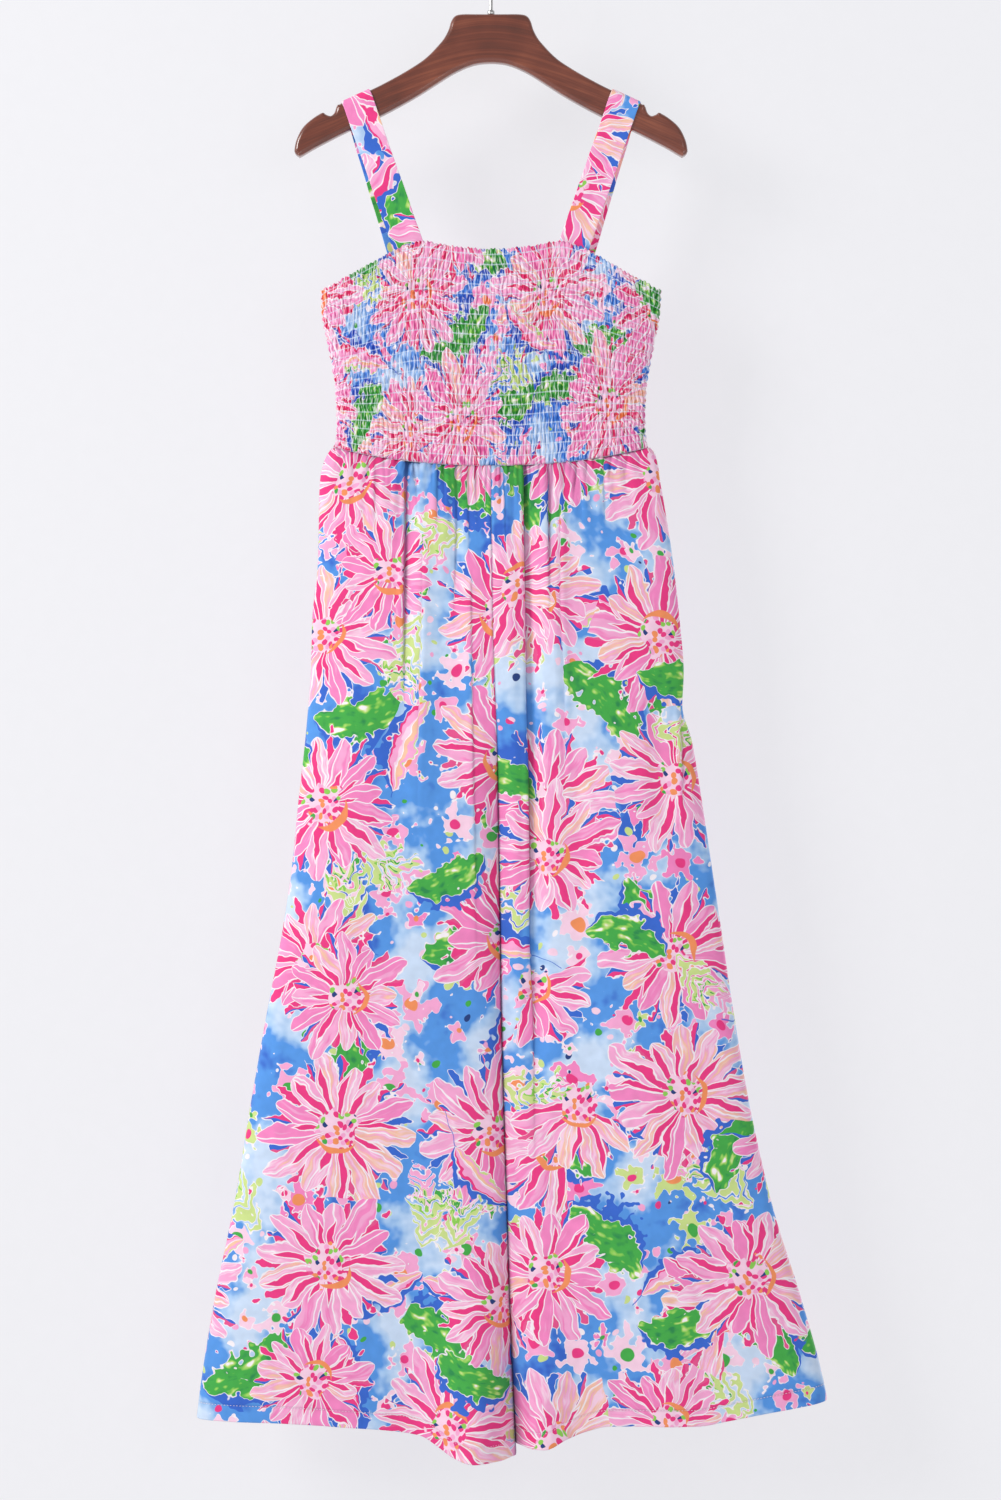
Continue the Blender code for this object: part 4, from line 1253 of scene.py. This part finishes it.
# places and sizes in metres; the camera looks level at the middle of the garment
studio = {
    "floorZ": -1.62, "floorWide": 30.0, "floorGlow": 0.62,
    "wallY": 0.085, "wallZ": 0.2, "wallWide": 9.0, "wallHigh": 3.64, "wallGlow": 0.735,
    "roomLight": 0.42, "roomSeen": 0.86,
    "cameraX": 0.0092, "cameraZ": -0.777, "cameraBack": 2.6, "frameHigh": 1.455,
    "film": 36.0, "farthest": 30.0,
}


def mattPaint(name, code, glow):
    # matt emulsion with the faintest mottle, and a slight glow that keeps it pale out to its far edges
    made, tree, shader = newMaterial(name)
    mottle = noise(put("TexCoord", tree=tree, out=3), 60.0, 3.0, 0.5, "3D")
    tint = put("MapRange", mottle, 0.3, 0.7, 0.985, 1.015)
    feed(shader, {
        "Base Color": put("HueSaturation", 0.5, 1.0, tint, 1.0, linear(code)), "Roughness": 0.9,
        "Specular IOR Level": 0.1, "Emission Color": linear("F1F1F4"), "Emission Strength": glow})
    # from behind or below the wall and floor are clear, so the garment shows from every side
    clear = put("BsdfTransparent", tree=tree)
    facing = put("NewGeometry", tree=tree, out=6)
    feed(tree.nodes["Material Output"], {"Surface": put("MixShader", facing, shader.outputs[0], clear)})
    return made


def studioPlane(name, middle, wide, high, rise, finish):
    bm = bmesh.new()
    bmesh.ops.create_grid(bm, x_segments=1, y_segments=1, size=0.5)
    for v in bm.verts:
        v.co = Vector(middle) + v.co.x * wide * Vector((1, 0, 0)) + v.co.y * high * Vector(rise)
    mesh = bpy.data.meshes.new(name)
    bm.to_mesh(mesh)
    bm.free()
    mesh.materials.append(finish)
    plane = bpy.data.objects.new(name, mesh)
    bpy.context.scene.collection.objects.link(plane)
    return plane


studioPlane("paleFloor", (0.0, 0.0, studio["floorZ"]), studio["floorWide"], studio["floorWide"], (0, 1, 0),
            mattPaint("mattFloorPaint", "757579", studio["floorGlow"]))
wallPlane = studioPlane("paleWall", (0.0, studio["wallY"], studio["wallZ"]), studio["wallWide"],
                        studio["wallHigh"], (0, 0, 1),
                        mattPaint("mattWallPaint", "858588", studio["wallGlow"]))
wallPlane.visible_shadow = False


def softBox(name, place, aimZ, wide, high, power, code):
    # a soft rectangle of light, aimed at this height on the garment's middle
    lamp = bpy.data.lights.new(name, "AREA")
    lamp.shape = "RECTANGLE"
    lamp.size, lamp.size_y = wide, high
    lamp.energy = power
    lamp.color = linear(code)[:3]
    box = bpy.data.objects.new(name, lamp)
    box.location = place
    box.rotation_euler = (Vector((0.0, 0.0, aimZ)) - Vector(place)).to_track_quat("-Z", "Y").to_euler()
    bpy.context.scene.collection.objects.link(box)


softBox("keyBox", (-2.7, -1.9, 0.7), -0.75, 1.2, 1.6, 81.0, "FFFDFB")
softBox("fillBox", (1.6, -3.0, -0.2), -0.8, 1.8, 1.8, 17.0, "FAFBFF")
softBox("backBox", (1.2, 2.8, 0.9), -0.75, 2.2, 2.2, 40.0, "FFFFFF")

world = bpy.data.worlds.new("paleStudio")
world.use_nodes = True
# seen directly the room is pale, while it lights the cloth only softly
seen = put("LightPath", tree=world.node_tree)
strength = put("MapRange", seen, 0.0, 1.0, studio["roomLight"], studio["roomSeen"])
feed(world.node_tree.nodes["Background"], {"Color": linear("F1F1F5"), "Strength": strength})
bpy.context.scene.world = world

lens = bpy.data.cameras.new("studioCamera")
lens.sensor_fit = "VERTICAL"
lens.sensor_height = lens.sensor_width = studio["film"]
lens.lens = studio["film"] * studio["cameraBack"] / studio["frameHigh"]
lens.clip_end = studio["farthest"]
camera = bpy.data.objects.new("studioCamera", lens)
camera.location = (studio["cameraX"], -studio["cameraBack"], studio["cameraZ"])
camera.rotation_euler = (math.pi / 2, 0.0, 0.0)
bpy.context.scene.collection.objects.link(camera)
bpy.context.scene.camera = camera
bpy.context.scene.view_settings.view_transform = "Standard"
print("studio lit")
